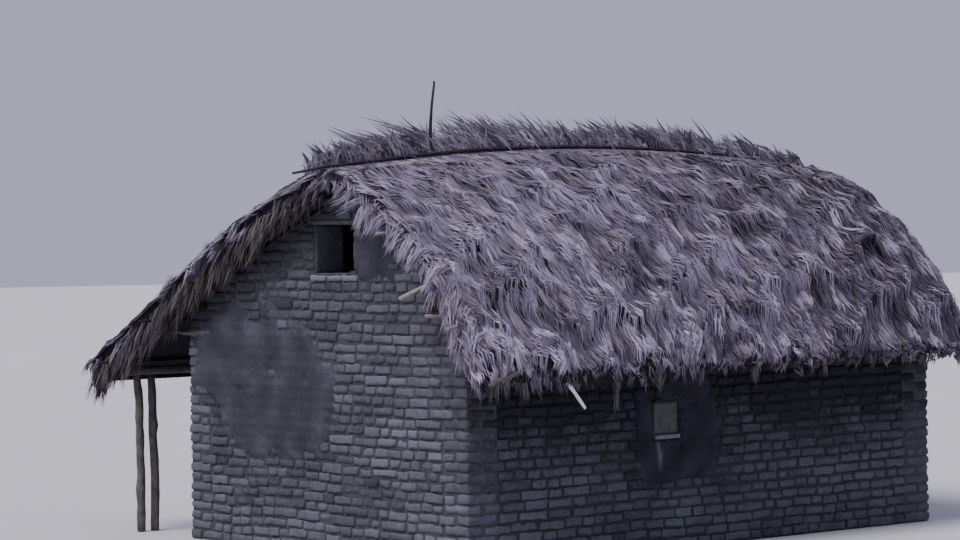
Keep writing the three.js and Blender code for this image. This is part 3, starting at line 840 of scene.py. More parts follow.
def lay_sill(masonry, face):
    """Paler bricks that stand proud below the gable window."""
    start = WINDOW_LEFT - SILL_OVERLAP - front_low.x
    length = (WINDOW_RIGHT - WINDOW_LEFT + 2 * SILL_OVERLAP) / SILL_COUNT
    gap = 0.004
    for number in range(SILL_COUNT):
        half = (length / 2 - gap, BRICK_DEPTH / 2, SILL_HEIGHT / 2 - gap)
        block, faces = masonry.worn_block(half, (5, 0, 3))
        out = block[:, 1] - BRICK_DEPTH / 2 + SILL_PROUD
        along = start + (number + 0.5) * length + block[:, 0]
        height = WINDOW_SILL - SILL_HEIGHT / 2 + block[:, 2]
        masonry.add(face.point(along, out, height), faces, SILL_TONE)


def near_plaster(spots, along, height):
    """From 0 to 1, how close a place is to plaster."""
    return max(
        math.exp(-max(abs(along - at) / wide, abs(height - level) / tall) ** 4 / 2.5)
        for at, level, wide, tall in spots
    )


def make_front_bricks():
    masonry = Masonry(11)
    face = front_face()

    def shade(along, height):
        by_plaster = near_plaster(GABLE_PLASTER, along + front_low.x, height)
        return painted_roof_shade(face, along, height) - 0.18 * by_plaster

    lay_bricks(masonry, face, 3, (True, True), shade)
    lay_sill(masonry, face)
    masonry.finish("front_gable_bricks", gable_brick, "gable_brick")


def make_rear_bricks():
    masonry = Masonry(12)
    face = WallFace("rear_gable_wall", (rear_high.x, rear_high.y), (rear_low.x, rear_high.y), (0, 1))
    lay_bricks(masonry, face, 5, (True, True), lambda along, height: painted_roof_shade(face, along, height))
    masonry.finish("rear_gable_bricks", gable_brick, "gable_brick")


def sill_middle():
    sill_low, sill_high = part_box("side_window_sill")
    return (sill_low.y + sill_high.y) / 2 - front_low.y


def near_tone(along, height):
    """The bricks under the eave are darker, as painted eave shade, and those by the plaster are darker too.
    """
    painted_eave_shade = np.clip((height - PAINTED_SHADE_LOW) / (PAINTED_SHADE_HIGH - PAINTED_SHADE_LOW), 0, 1)
    by_plaster = near_plaster(SIDE_PLASTER, along - sill_middle(), height)
    return -0.55 * painted_eave_shade - 0.3 * by_plaster * (1 - 0.5 * painted_eave_shade)


def make_near_bricks():
    masonry = Masonry(13)
    lay_bricks(masonry, near_face(), 7, (True, True), near_tone, 0.45)
    masonry.finish("near_side_bricks", side_brick, "side_brick")


def make_porch_bricks():
    masonry = Masonry(14)
    x = front_low.x
    lintel_low, lintel_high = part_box("door_lintel")
    for part, seed, corner_ends in (
        ("rear", 9, (True, False)), ("front", 10, (False, True)), ("over_door", 11, (False, False)),
    ):
        node = f"porch_side_wall_{part}"
        low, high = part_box(node)
        start = rear_high.y if part == "rear" else high.y
        end = front_low.y if part == "front" else low.y
        beside_door = part != "over_door"
        over_lintel = (start - lintel_high.y, start - lintel_low.y, lintel_low.z, lintel_high.z)
        holes = [over_lintel] if beside_door else []
        face = WallFace(node, (x, start), (x, end), (-1, 0), holes, level=beside_door)
        lay_bricks(masonry, face, seed, corner_ends)
    masonry.finish("porch_side_bricks", side_brick, "side_brick")


# Mud plaster.
def plaster_cover(face, spots, where, seed):
    """How far a place is inside the ragged edge of the spots. It is below 0 outside and by the holes."""
    along, height = where[..., 0], where[..., 1]
    cover = np.full(along.shape, -9.0)
    for middle, level, wide, tall in spots:
        reach = ((np.abs(along - middle) / wide) ** 3 + (np.abs(height - level) / tall) ** 3) ** (1 / 3)
        cover = np.maximum(cover, 1.0 - reach)
    cover = layered(where, seed, (0.15, 0.6), (0.07, 0.17), base=cover)
    for left, right, bottom, top in face.holes:
        sideways = np.maximum(left - along, along - right)
        upright = np.maximum(bottom - height, height - top)
        beside = np.maximum(sideways, upright) - PLASTER_OFF_HOLE
        cover = np.minimum(cover, beside / PLASTER_RIM)
    return cover


def trimmed_sheet(inside):
    """The used places of a grid and its faces, without the faces that are wholly outside."""
    quads = sheet_faces(*inside.shape)
    quads = quads[inside.ravel()[quads].any(1)]
    used = np.unique(quads)
    fresh = np.zeros(inside.size, int)
    fresh[used] = np.arange(len(used))
    return used, fresh[quads]


def plaster_patch(name, face, spots, material, seed, streak=None):
    """A sheet over ovals on the face: middle along, middle height, half width and half height."""
    spots = np.array(spots)
    low = (spots[:, :2] - 1.25 * spots[:, 2:]).min(0)
    high = (spots[:, :2] + 1.25 * spots[:, 2:]).max(0)
    across = np.arange(max(low[0], 0.02), min(high[0], face.length - 0.02), PLASTER_STEP)
    up = np.arange(max(low[1], 0.01), high[1], PLASTER_STEP)
    along, height = np.meshgrid(across, up, indexing="ij")
    where = np.stack([along, height], -1)
    cover = plaster_cover(face, spots, where, seed)
    share = np.clip(cover / 0.3, -1, 1)
    smooth = PLASTER_THICKNESS * share + PLASTER_SWELL
    out = layered(where, seed + 2, (PLASTER_SWELL, 0.3), (0.0014, 0.07), base=smooth)
    out = out - PLASTER_SWELL * np.cos(2 * math.pi * height / COURSE)
    vertices = face.point(along, out, height).reshape(-1, 3)
    used, faces = trimmed_sheet(share > -0.95)
    rim = 1 - np.clip(cover / 0.5, 0, 1)
    tone = EVEN_TONE + 0.12 * ripples(where, 0.5, seed + 4) + PLASTER_RIM_TONE * rim
    lime = np.zeros_like(tone) if streak is None else streak(along, height)
    marks = {"tone": as_colour(tone.ravel()[used]), "lime": as_colour(lime.ravel()[used])}
    add_mesh(name, vertices[used], faces, material, marks)


def make_plaster():
    spots = [(at - front_low.x, *spot) for at, *spot in GABLE_PLASTER]
    plaster_patch("gable_plaster", front_face(), spots, gable_plaster, 21)
    sill_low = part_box("side_window_sill")[0]
    middle = sill_middle()

    def lime_run(along, height):
        below_sill = np.clip((sill_low.z - height) / 0.03, 0, 1)
        below_sill = below_sill * np.clip((height - LIME_END) / LIME_FADE, 0, 1)
        return below_sill * np.exp(-((along - middle + LIME_ASIDE) / LIME_WIDTH) ** 2)

    spots = [(middle + at, *spot) for at, *spot in SIDE_PLASTER]
    plaster_patch("side_plaster", near_face(), spots, side_plaster, 27, lime_run)


def make_linings():
    """Mud smeared over the sides and the sill of the gable window's hole."""
    masonry = Masonry(51)
    thick = 0.006
    waves = 0.003
    wide, tall = WINDOW_RIGHT - WINDOW_LEFT, WINDOW_HEAD - WINDOW_SILL
    deep = front_high.y - front_low.y
    middle = (front_low.y + front_high.y) / 2
    cells = 12
    lines = np.linspace(-1, 1, cells + 1)
    grid, faces = block_grid((1, cells, cells))
    for x in (WINDOW_LEFT, WINDOW_RIGHT):
        place = grid_place(grid, [[-1, 1], lines, lines]) * (thick, deep / 2 - 0.004, tall / 2)
        place[:, 0] += waves * ripples(place, 0.12, 5)
        masonry.add(place + (x, middle, (WINDOW_SILL + WINDOW_HEAD) / 2), faces, JAMB_TONE)
    grid, faces = block_grid((cells, cells, 1))
    place = grid_place(grid, [lines, lines, [-1, 1]]) * (wide / 2, deep / 2, thick)
    place[:, 2] += waves * ripples(place, 0.12, 6)
    masonry.add(place + ((WINDOW_LEFT + WINDOW_RIGHT) / 2, middle, WINDOW_SILL), faces, LINED_SILL_TONE)
    masonry.finish("gable_window_lining", gable_brick, "gable_brick")


# Poles.
def pole_path(node, long_axis, cast_axis, count):
    """Points along the middle of a CAD pole, found between its opposite faces."""
    low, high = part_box(node)
    tree = tree_of(node)
    middle = (low + high) / 2
    ray = Vector([1.0 if axis == cast_axis else 0.0 for axis in range(3)])
    inset = 0.002
    path = []
    for at in np.linspace(low[long_axis] + inset, high[long_axis] - inset, count):
        below, above = middle.copy(), middle.copy()
        below[long_axis] = above[long_axis] = at
        below[cast_axis] = low[cast_axis] - 1
        above[cast_axis] = high[cast_axis] + 1
        first = tree.ray_cast(below, ray)[0]
        last = tree.ray_cast(above, -ray)[0]
        if first and last:
            path.append(np.array((first + last) / 2))
    return np.array(path)


def resample(path, step):
    """The same line, with points a step apart, and their distances along it."""
    lengths = np.concatenate([[0], np.cumsum(np.linalg.norm(np.diff(path, axis=0), axis=1))])
    least_spans = 4
    count = max(int(lengths[-1] / step), least_spans) + 1
    at = np.linspace(0, lengths[-1], count)
    return np.stack([np.interp(at, lengths, path[:, axis]) for axis in range(3)], -1), at


def pole_axes(line):
    """The way along a line at each of its points, and two directions square to it."""
    way = unit(np.gradient(line, axis=0))
    helper = np.array([0.31, 0.27, 0.91]) if abs(way[:, 2]).mean() < 0.7 else np.array([0.9, 0.35, 0.2])
    side = unit(np.cross(way, helper))
    return way, side, np.cross(way, side)


def pole_lumps(draw, around, seed):
    """How thick a pole is round each ring, as a share: lumps, and knots where branches were."""
    at = around[:, :1, 2]
    length = at[-1, 0]
    lumps = layered(around, seed + 3, (0.07, 0.25), (0.05, 0.09), base=1)
    for knot in draw.uniform(0.05, 0.95, max(int(length / KNOT_GAP), 1)):
        away = 1 - np.cos(POLE_ANGLES - draw.uniform(0, 2 * math.pi))
        near = np.exp(-((at - knot * length) / KNOT_LENGTH) ** 2 - (away / KNOT_TURN))
        lumps = lumps + KNOT_HEIGHT * near
    return lumps


def tube_faces(rings):
    """A tube of rings. The last two vertices are the middles of its ends."""
    index = np.arange(rings * POLE_SIDES).reshape(rings, POLE_SIDES)
    following = np.roll(index, -1, axis=1)
    walls = np.stack([index[:-1], following[:-1], following[1:], index[1:]], -1)
    faces = walls.reshape(-1, 4).tolist()
    first, last = index.size, index.size + 1
    for ends in zip(index[0], following[0], index[-1], following[-1]):
        start, start_next, end, end_next = map(int, ends)
        faces += [(first, start_next, start), (last, end, end_next)]
    return faces


def add_pole(name, path, radii, material, seed, crook, step):
    """A natural pole: a crooked line, knots, an oval section and chopped ends."""
    draw = np.random.default_rng(seed)
    line, at = resample(np.asarray(path, float), step)
    length = at[-1]
    way, side, other = pole_axes(line)
    free = np.sin(np.pi * np.clip(at / length, 0, 1)) ** 0.6
    bend = max(length * 0.8, 0.5)
    for number, sideways in ((1, side), (2, other)):
        line = line + (crook * free * ripples(at[:, None], bend, seed + number))[:, None] * sideways
    radius = np.interp(at / length, np.linspace(0, 1, len(radii)), radii)
    cosines, sines = np.cos(POLE_ANGLES), np.sin(POLE_ANGLES)
    ring = cosines[None, :, None] * side[:, None] + sines[None, :, None] * other[:, None]
    around = np.stack(np.broadcast_arrays(cosines * GRAIN_RADIUS, sines * GRAIN_RADIUS, at[:, None]), -1)
    points = line[:, None] + ring * (radius[:, None] * pole_lumps(draw, around, seed))[..., None]
    chop = draw.uniform(-0.5, 0.5, 2)
    for end in (0, -1):
        points[end] += (way[end] * (radius[end] * chop[end])) * cosines[:, None]
    points[..., 2] = np.maximum(points[..., 2], 0)
    vertices = [*points.reshape(-1, 3), points[0].mean(0), points[-1].mean(0)]
    grain = np.zeros((len(vertices), 4))
    grain[:-2, :3] = around.reshape(-1, 3)
    grain[-1, 2] = length
    grain[:, 2] += seed
    return add_mesh(name, vertices, tube_faces(len(line)), material, {"grain": grain})


def pole_look(node):
    """Porch battens take the very dark bark, partly painted shade; porch posts, ties and eave beam are
    weathered; others follow their slot.
    """
    if node.startswith("porch_batten"):
        return shaded_bark
    if node.startswith(("porch_post", "porch_tie", "porch_eave")):
        return weathered
    return {"timber": shaded_bark, "pale_timber": peeled, "dark_timber": dark_wood}[slot_of[node]]


def replace_pole(node, long_axis, cast_axis, radii, seed, count=6, crook=0.006, step=0.1):
    """A natural pole in place of a CAD bar. count is how many places of the bar are read."""
    path = pole_path(node, long_axis, cast_axis, count)
    piece = add_pole(f"{node}_pole", path, radii, pole_look(node), seed, crook, step)
    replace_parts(piece, node)


def make_poles():
    seed = 100
    for number, side in product(range(1, 7), ("near", "porch")):
        seed += 7
        replace_pole(f"{side}_rafter_{number}", X, Z, [0.042, 0.043, 0.036], seed, 40)
    for number in range(1, 6):
        for side in ("near", "porch"):
            seed += 7
            replace_pole(f"{side}_batten_{number}", Y, Z, [0.018, 0.022, 0.021, 0.019], seed)
        seed += 7
        replace_pole(f"porch_post_{number}", Z, X, [0.052, 0.05, 0.046], seed, crook=0.008)
    for node, radius in (("near_wall_plate", 0.055), ("porch_wall_plate", 0.055),
                         ("ridge_beam", 0.06), ("porch_eave_beam", 0.055)):
        seed += 7
        replace_pole(node, Y, Z, [radius * 0.92, radius, radius * 0.97], seed)
    replace_pole("porch_tie_front", X, Z, [0.026, 0.024], 311)
    weight_radii = [0.012, 0.02, 0.022, 0.021, 0.018, 0.012]
    replace_pole("ridge_weight_pole", Y, Z, weight_radii, 317, count=60, crook=0.012, step=0.06)
    stick_radii = [0.018, 0.016, 0.015, 0.012]
    replace_pole("ridge_stick", Z, Y, stick_radii, 331, count=24, crook=0.004, step=0.03)


def make_timbers():
    """The hewn lintels and the planks of the side window, with worn edges."""
    for node, material, cells in (
        ("gable_window_lintel", grey_timber, (11, 4, 2)), ("door_lintel", shaded_bark, (4, 13, 2)),
        ("side_window_board", plank, (2, 7, 9)), ("side_window_sill", limed_and_lit_plank, (2, 9, 2)),
    ):
        low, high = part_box(node)
        masonry = Masonry(60)
        half = np.array((high - low) / 2)
        grid, faces = block_grid(cells)
        corners = grid_place(grid, [np.linspace(-1, 1, n + 1) for n in cells])
        edge = (np.abs(corners) > 0.99).sum(1, keepdims=True) > 1
        place = corners * half * np.where(edge, 0.985, 1.0)
        place += 0.0016 * wobble(place, 0.09, 61)
        masonry.add(place + np.array((low + high) / 2), faces, EVEN_TONE)
        long_axis = int(np.argmax(half))
        grain = np.zeros((len(place), 4))
        grain[:, :2] = np.delete(place, long_axis, axis=1)
        grain[:, 2] = place[:, long_axis]
        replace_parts(masonry.finish(f"{node}_worn", material, slot_of[node], grain=grain), node)


# Straw.
class Cover:
    """The top of a thatch cover, read from its CAD node, with the way down it along X."""

    def __init__(self, node, down, eave_fall, looseness=1.0, slants=(0.45, 0.32, 0.1, 0)):
        self.down = down
        self.eave_fall = eave_fall
        self.looseness = looseness
        self.slants = slants
        low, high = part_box(node)
        self.low, self.high = low, high
        self.edge = high.x if down > 0 else low.x
        tree = tree_of(node)
        self.xs = np.linspace(low.x + COVER_INSET, high.x - COVER_INSET, COVER_ROWS)
        self.ys = np.linspace(low.y + COVER_INSET, high.y - COVER_INSET, COVER_COLUMNS)
        self.heights = np.array([[top_at(tree, x, y, high.z) for y in self.ys] for x in self.xs])
        self.walk_xs = self.xs[::down]
        profile = self.heights[::down, len(self.ys) // 2]
        runs = np.hypot(np.diff(self.walk_xs), np.diff(profile))
        self.walked = np.concatenate([[0], np.cumsum(runs)])

    def verge(self, end):
        """Where the cover ends at a gable. end is -1 at the front."""
        return self.low.y if end < 0 else self.high.y

    @staticmethod
    def cell(lines, at):
        """The nearest place within the grid lines, the number of its cell, and the share across it."""
        inside = np.clip(at, lines[0], lines[-1])
        number = np.clip(np.searchsorted(lines, inside) - 1, 0, len(lines) - 2)
        return inside, number, (inside - lines[number]) / (lines[number + 1] - lines[number])

    def height(self, x, y):
        """The height of the top. Past the eave it falls steeply, and past a verge it droops."""
        inner_x, row, down_share = self.cell(self.xs, x)
        inner_y, column, across = self.cell(self.ys, y)
        before, after = self.heights[row, column], self.heights[row + 1, column]
        before_next, after_next = self.heights[row, column + 1], self.heights[row + 1, column + 1]
        top = ((1 - down_share) * (1 - across) * before + down_share * (1 - across) * after
               + (1 - down_share) * across * before_next + down_share * across * after_next)
        past_eave = np.maximum((x - inner_x) * self.down, 0)
        past_ridge = np.maximum((inner_x - x) * self.down, 0)
        past_verge = np.abs(y - inner_y)
        return top - past_eave * self.eave_fall + RIDGE_RISE * past_ridge - VERGE_DROOP * past_verge

    def ledge(self, x, y):
        """Extra thickness: each course swells towards its lower edge, and then drops to the next."""
        walked = self.walk(x)
        line = walked / COURSE_GAP + self.ledge_wave(y)
        course = np.floor(line)
        swell = 0.55 + 0.45 * ripples(np.stack([y, course * 1.7], -1), 0.9, 73)
        from_ridge = np.clip((walked - 0.12) / 0.35, 0, 1)
        heap = HEAP * self.roughness(x) * np.clip(0.5 + 0.6 * self.heaps(x, y), 0, 1.5)
        from_verge = np.minimum(y - self.low.y, self.high.y - y)
        held = self.looseness * from_ridge * np.clip(0.4 + from_verge / 0.4, 0.4, 1)
        return held * (LEDGE * np.clip(swell, 0, 1.4) * (line - course) ** 1.5 + heap)

    @staticmethod
    def heaps(x, y):
        """Soft heaps and hollows of about -1 to 1, longer along the ridge than down the slope."""
        return ripples(np.stack([x, 0.55 * y], -1), 0.4, 74)

    def down_to(self, x):
        """How far down the slope a place is, from 0 at the ridge to 1 at the eave."""
        return self.walk(x) / self.walked[-1]

    def roughness(self, x):
        """The straw lies smooth near the ridge and rough near the eave."""
        return np.interp(self.down_to(x), [0, 0.45, 0.8, 1], [0.5, 0.75, 1.25, 1.1])

    def slant(self, x):
        """How far the straw turns from the straight way down: most near the ridge, hardly at the eave."""
        return np.interp(self.down_to(x), [0, 0.5, 0.85, 1], self.slants)

    @staticmethod
    def ledge_wave(y):
        """How far the courses' edges wander, in shares of a course."""
        return layered(y[..., None], 71, (0.22, 1.3), (0.12, 0.37))

    def walk(self, x):
        """The distance over the surface from the ridge down to a plan place."""
        return np.interp(x * self.down, self.walk_xs * self.down, self.walked)

    def settle(self, x, y, off):
        """Places at a height off the surface. What would run past the eave hangs from it instead."""
        y = np.clip(y, self.low.y - VERGE_REACH, self.high.y + VERGE_REACH)
        past = np.maximum((x - self.edge) * self.down, 0)
        kept = EAVE_REACH * (1 - np.exp(-past / EAVE_REACH))
        over_x = np.where(past > 0, self.edge + self.down * kept, x)
        ground = np.stack([over_x, y, self.height(np.where(past > 0, self.edge, x), y)], -1)
        ground[..., 2] -= 1.1 * self.hang(y) * (past - kept * 0.5) * (past > 0)
        inside = np.where(past > 0, self.edge - self.down * 0.06, x)
        return ground + self.normal(inside, y) * np.asarray(off)[..., None]

    def hang(self, y):
        """How much of its length the straw hangs from the eave: less towards the rear of the near side."""
        return np.interp(y, [-1.2, 0.2], [1, 0.5]) if self.down > 0 else 1.0

    def step(self, x, y, heading, distance):
        """The plan place a distance further over the surface. Heading 0 is straight down."""
        away = np.stack([self.down * np.cos(heading), np.sin(heading)], -1)
        probe = 0.05
        rise = (self.height(x + probe * away[..., 0], y + probe * away[..., 1]) - self.height(x, y)) / probe
        plan = distance / np.sqrt(1 + rise ** 2)
        return x + plan * away[..., 0], y + plan * away[..., 1]

    def normal(self, x, y):
        probe = 0.03
        slope_x = (self.height(x + probe, y) - self.height(x - probe, y)) / (2 * probe)
        slope_y = (self.height(x, y + probe) - self.height(x, y - probe)) / (2 * probe)
        return unit(np.stack([-slope_x, -slope_y, np.ones_like(slope_x)], -1))

    def rows(self, spacing):
        """Plan places down the slope, an even distance apart over the surface."""
        return np.interp(np.arange(0, self.walked[-1], spacing), self.walked, self.walk_xs)


def add_straw(name, root, bend, tip, up, width, shade, tone, material, record_slot):
    """Strands as flat spikes, pointed at both ends, widest where they bend and raised along the middle."""
    count = len(root)
    way = unit(tip - root + 1e-9)
    side = unit(np.cross(way, up) + 1e-9)
    rise = unit(np.cross(side, way))
    half = (width / 2)[:, None]
    corners = [root, bend + half * side, bend + STRAND_RISE * half * rise, bend - half * side, tip]
    vertices = np.stack(corners, 1).reshape(-1, 3)
    pattern = []
    for this, following in ((1, 2), (2, 3), (3, 1)):
        pattern += [(0, following, this), (4, this, following)]
    faces = (np.array(pattern)[None] + (np.arange(count) * len(corners))[:, None, None]).reshape(-1, 3)
    marks = np.ones((count, len(corners), 4))
    marks[..., 0] = shade[:, None]
    marks[..., 1] = np.array([0.0, 0.5, 0.5, 0.5, 1.0])
    marks[..., 2] = tone[:, None]
    marks[..., 3] = np.array([0.0, 1.0, 0.0, -1.0, 0.0])
    marks = {"straw": marks.reshape(-1, 4)}
    return add_mesh(name, vertices, faces, material, marks, smooth=False)


class Strands:
    """Straw strands from several layers, gathered and then cut into pieces of even size."""

    def __init__(self, seed):
        self.draw = np.random.default_rng(seed)
        self.parts = []

    def add(self, root, bend, tip, up, width, shade, tone):
        self.parts.append((root, bend, tip, up, width, shade, tone))

    def marks(self, shade, per_tuft, warm):
        """Each strand's shade and tone, close to those of its tuft. warm is the share that is yellow."""
        draw = self.draw
        count = len(shade) * per_tuft
        shades = np.repeat(shade, per_tuft) + draw.normal(0, SHADE_SPREAD, count)
        tones = 0.7 * np.repeat(draw.random(len(shade)) + warm, per_tuft) + 0.3 * draw.random(count)
        return np.clip(shades, 0, 1), np.clip(tones - 0.08, 0, 1)

    def widths(self, count, width=1.0):
        """Mostly broad locks, with finer strands among them."""
        return STRAW_WIDTH * width * (0.45 + 1.2 * self.draw.random(count) ** 1.4)

    def bundles(self, root, tip, per_bundle, shade, face, root_spread, tip_spread, bow, warm=0.1, width=1.0):
        """Bundles of strands from roots to tips. Middles rise by bow, and the flat sides look along face."""
        draw = self.draw
        count = len(root) * per_bundle
        root = np.repeat(root, per_bundle, axis=0)
        way = np.repeat(tip, per_bundle, axis=0) - root
        start = root + draw.normal(0, root_spread, (count, 3)) * (1, 1, 0.5)
        end = root + way * draw.uniform(0.5, 1.1, (count, 1)) + draw.normal(0, tip_spread, (count, 3))
        bend = start + (end - start) * draw.uniform(0.35, 0.6, (count, 1))
        bend = bend + draw.normal(0, 0.006, (count, 3))
        bend[:, 2] += bow * draw.uniform(0.5, 1.3, count)
        up = np.array(face) + draw.normal(0, 0.35, (count, 3))
        shades, tones = self.marks(shade, per_bundle, warm)
        self.add(start, bend, end, up, self.widths(count, width), shades, tones)

    def finish(self, name, material, record_slot="straw", pieces=1):
        whole = [np.concatenate(column) for column in zip(*self.parts)]
        made = []
        for number in range(pieces):
            chosen = [column[number::pieces] for column in whole]
            label = name if pieces == 1 else f"{name}_{number + 1}"
            made.append(add_straw(label, *chosen, material, record_slot))
        return made


def lay_tufts(layer, cover, x, y, heading, length, lift, shade, per_tuft, fan=0.045, sink=0.04, warm=0.08):
    """Tufts of straw that lie on a cover, each a lock with an arched back. One value to a tuft."""
    draw = layer.draw
    tufts = len(x)
    count = tufts * per_tuft

    def each(values):
        return np.repeat(values, per_tuft)

    heading = each(heading)
    aside = draw.normal(0, 1, count)
    start_x = each(x) - aside * TUFT_SPREAD * np.sin(heading) * cover.down + draw.normal(0, 0.025, count)
    start_y = each(y) + aside * TUFT_SPREAD * np.cos(heading) + draw.normal(0, 0.008, count)
    closing = each(draw.uniform(-0.85, 0.35, tufts))
    turn = heading + closing * aside * TUFT_SPREAD / each(length) + draw.normal(0, fan, count)
    reach = each(length) * draw.uniform(0.75, 1.1, count)
    bend_share = draw.uniform(0.4, 0.65, count)
    bend_x, bend_y = cover.step(start_x, start_y, turn, reach * bend_share)
    turn_on = turn + draw.normal(0, 0.05, count)
    tip_x, tip_y = cover.step(bend_x, bend_y, turn_on, reach * (1 - bend_share))
    bulk = each(cover.roughness(x)) * np.abs(draw.normal(0, 0.003, count))
    round_top = np.exp(-0.5 * aside ** 2)
    arch = each(draw.uniform(0.4, 0.9, tufts))
    bend_lift = each(lift) * arch * (0.35 + 0.65 * round_top) + bulk + cover.ledge(bend_x, bend_y)
    tip_lift = each(lift) * (1.2 - arch) + bulk + 0.6 * cover.ledge(tip_x, tip_y)
    root = cover.settle(start_x, start_y, 0.85 * cover.ledge(start_x, start_y) - sink)
    bend = cover.settle(bend_x, bend_y, bend_lift)
    tip = cover.settle(tip_x, tip_y, tip_lift)
    uneven = cover.looseness * (0.04 + 0.1 * cover.roughness(x) ** 2)
    tilt = np.repeat(uneven[:, None] * draw.normal(0, 1, (tufts, 3)), per_tuft, axis=0)
    up = cover.normal(start_x, start_y) + tilt + draw.normal(0, 0.03, (count, 3))
    shades, tones = layer.marks(shade, per_tuft, warm)
    layer.add(root, bend, tip, up, layer.widths(count), shades, tones)


def lay_mat(name, cover):
    """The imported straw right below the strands, raised in the same ledges and heaps. Its rim is sunk."""
    rows = np.append(cover.rows(MAT_SPACING)[1:], cover.edge)
    across = np.linspace(cover.low.y, cover.high.y, int((cover.high.y - cover.low.y) / MAT_SPACING))
    x, y = np.meshgrid(rows, across, indexing="ij")
    lift = cover.ledge(x, y) - MAT_BELOW
    rim = np.ones(x.shape, bool)
    rim[1:-1, 1:-1] = False
    x = x - MAT_INSET * cover.down * (x == rows[-1])
    y = y + MAT_INSET * (y == across[0]) - MAT_INSET * (y == across[-1])
    vertices = cover.settle(x, y, np.where(rim, -2 * MAT_BELOW, lift)).reshape(-1, 3)
    add_mesh(name, vertices, sheet_faces(*x.shape)[:, ::cover.down], straw_bed)


def slope_lift(draw, cover, x, where, seed):
    """How far the tips of the tufts stand off: hardly near the ridge, and most near the eave."""
    lift = 0.004 + cover.roughness(x) ** 2 * cover.looseness * np.abs(draw.normal(0, 0.024, x.size))
    lift = lift * (0.75 + 0.35 * ripples(where, 0.7, seed + 2))
    return lift * np.clip(cover.walk(x) / 0.4 - 0.1, 0.05, 1)


def slope_shade(draw, cover, x, y, where, seed):
    """The shades of a slope: broad patches, painted light on heaps and shade in hollows, uneven tufts, a
    pale ridge and painted shade at the rear.
    """
    rough = cover.roughness(x)
    shade = layered(where, seed + 3, (0.14, 1.3), (0.06, 3.0), base=SLOPE_SHADE)
    # Painted light on heaps and painted shade in hollows.
    shade = shade + PAINTED_HEAP_LIGHT * rough ** 1.5 * cover.heaps(x + 0.1 * cover.down, y)
    shade = shade + (0.03 + 0.12 * cover.looseness * rough ** 2) * draw.normal(0, 1, x.size)
    shade = shade + RIDGE_GLOW * np.exp(-cover.walk(x) / 0.25)
    # Painted shade towards the rear.
    return shade - REAR_GLOOM * np.clip((y + 0.8) / cover.high.y, -0.15, 1)


def thatch_slope(layer, cover, seed, row_gap, tuft_gap, per_tuft):
    """Ragged courses of tufts from the eave up to the ridge, smoother near the ridge."""
    draw = layer.draw
    across = np.arange(cover.low.y + 0.02, cover.high.y - 0.02, tuft_gap)
    row_x, row_y = np.meshgrid(cover.rows(row_gap)[:-1], across, indexing="ij")
    x = strayed(draw, row_x.ravel(), row_gap * 0.35)
    y = strayed(draw, row_y.ravel(), tuft_gap * 0.45)
    where = np.stack([x, y], -1)
    heading = cover.slant(x) + 0.15 * ripples(where, 1.1, seed + 1)
    heading = strayed(draw, heading, HEADING_SPREAD)
    length = draw.uniform(*SLOPE_LENGTH, x.size)
    lift = slope_lift(draw, cover, x, where, seed)
    shade = slope_shade(draw, cover, x, y, where, seed)
    warm = 0.12 + 0.3 * np.exp(-cover.walk(x) / 1.1)
    lay_tufts(layer, cover, x, y, heading, length, lift, shade, per_tuft, warm=warm)


def line_ledges(layer, cover, seed, gap, per_tuft):
    """Overhanging ends along the lower edge of each course, paler than the slope as a painted highlight on
    the lips.
    """
    draw = layer.draw
    for course in range(1, int(cover.walked[-1] / COURSE_GAP) + 1):
        y = strayed(draw, np.arange(cover.low.y + 0.05, cover.high.y - 0.05, gap), gap * 0.6)
        y = y[ripples(y[:, None], 0.8, seed + course) > -0.35]
        walked = COURSE_GAP * (course - cover.ledge_wave(y)) - draw.uniform(0.18, 0.3, y.size)
        keep = (walked > 0.3) & (walked < cover.walked[-1] - 0.2)
        y, walked = y[keep], walked[keep]
        x = np.interp(walked, cover.walked, cover.walk_xs)
        lift = draw.uniform(0.015, 0.06, y.size)
        # Painted highlight: the lips are paler than the slope's tufts.
        shade = SLOPE_SHADE + cover.looseness * draw.normal(0.19, 0.13, y.size)
        heading = strayed(draw, cover.slant(x), HEADING_SPREAD)
        length = draw.uniform(*LEDGE_LENGTH, y.size)
        lay_tufts(layer, cover, x, y, heading, length, lift, shade, per_tuft, fan=0.07, sink=0.0)


def hang_eave(layer, cover, seed, gap, per_tuft, drop, under=0.0, width=1.0):
    """Pointed tufts that hang from the eave, or from a distance under its top."""
    draw = layer.draw
    y = strayed(draw, np.arange(cover.low.y + 0.02, cover.high.y - 0.01, gap), gap * STRAY)
    inside = draw.uniform(0.0, 0.12, y.size)
    x = cover.edge - cover.down * inside
    root = np.stack([x, y, cover.height(x, y) - under - draw.uniform(0.0, 0.06, y.size)], -1)
    fall = draw.uniform(*drop, y.size) * np.clip(0.75 + 0.4 * ripples(y[:, None], 0.45, seed), 0.3, 1.4)
    out = np.clip(np.minimum(inside, 0.06) - under + draw.normal(0.01, 0.02, y.size), 0, EAVE_REACH)
    fall = fall * cover.hang(y)
    tip = root + np.stack([cover.down * out, draw.normal(0, 0.05, y.size), -fall], -1)
    shade = EAVE_SHADE + draw.normal(0, 0.15, y.size)
    layer.bundles(root, tip, per_tuft, shade, (cover.down, 0, 0.4), root_spread=0.034, tip_spread=0.014,
                  bow=0.02, warm=0.14, width=width)


def verge_places(draw, cover, end, rows, gap, outermost=0.0):
    """Places in rows along a verge. end is -1 at the front."""
    x = strayed(draw, rows, gap * STRAY)
    return x, cover.verge(end) - end * draw.uniform(outermost, 0.1, x.size)


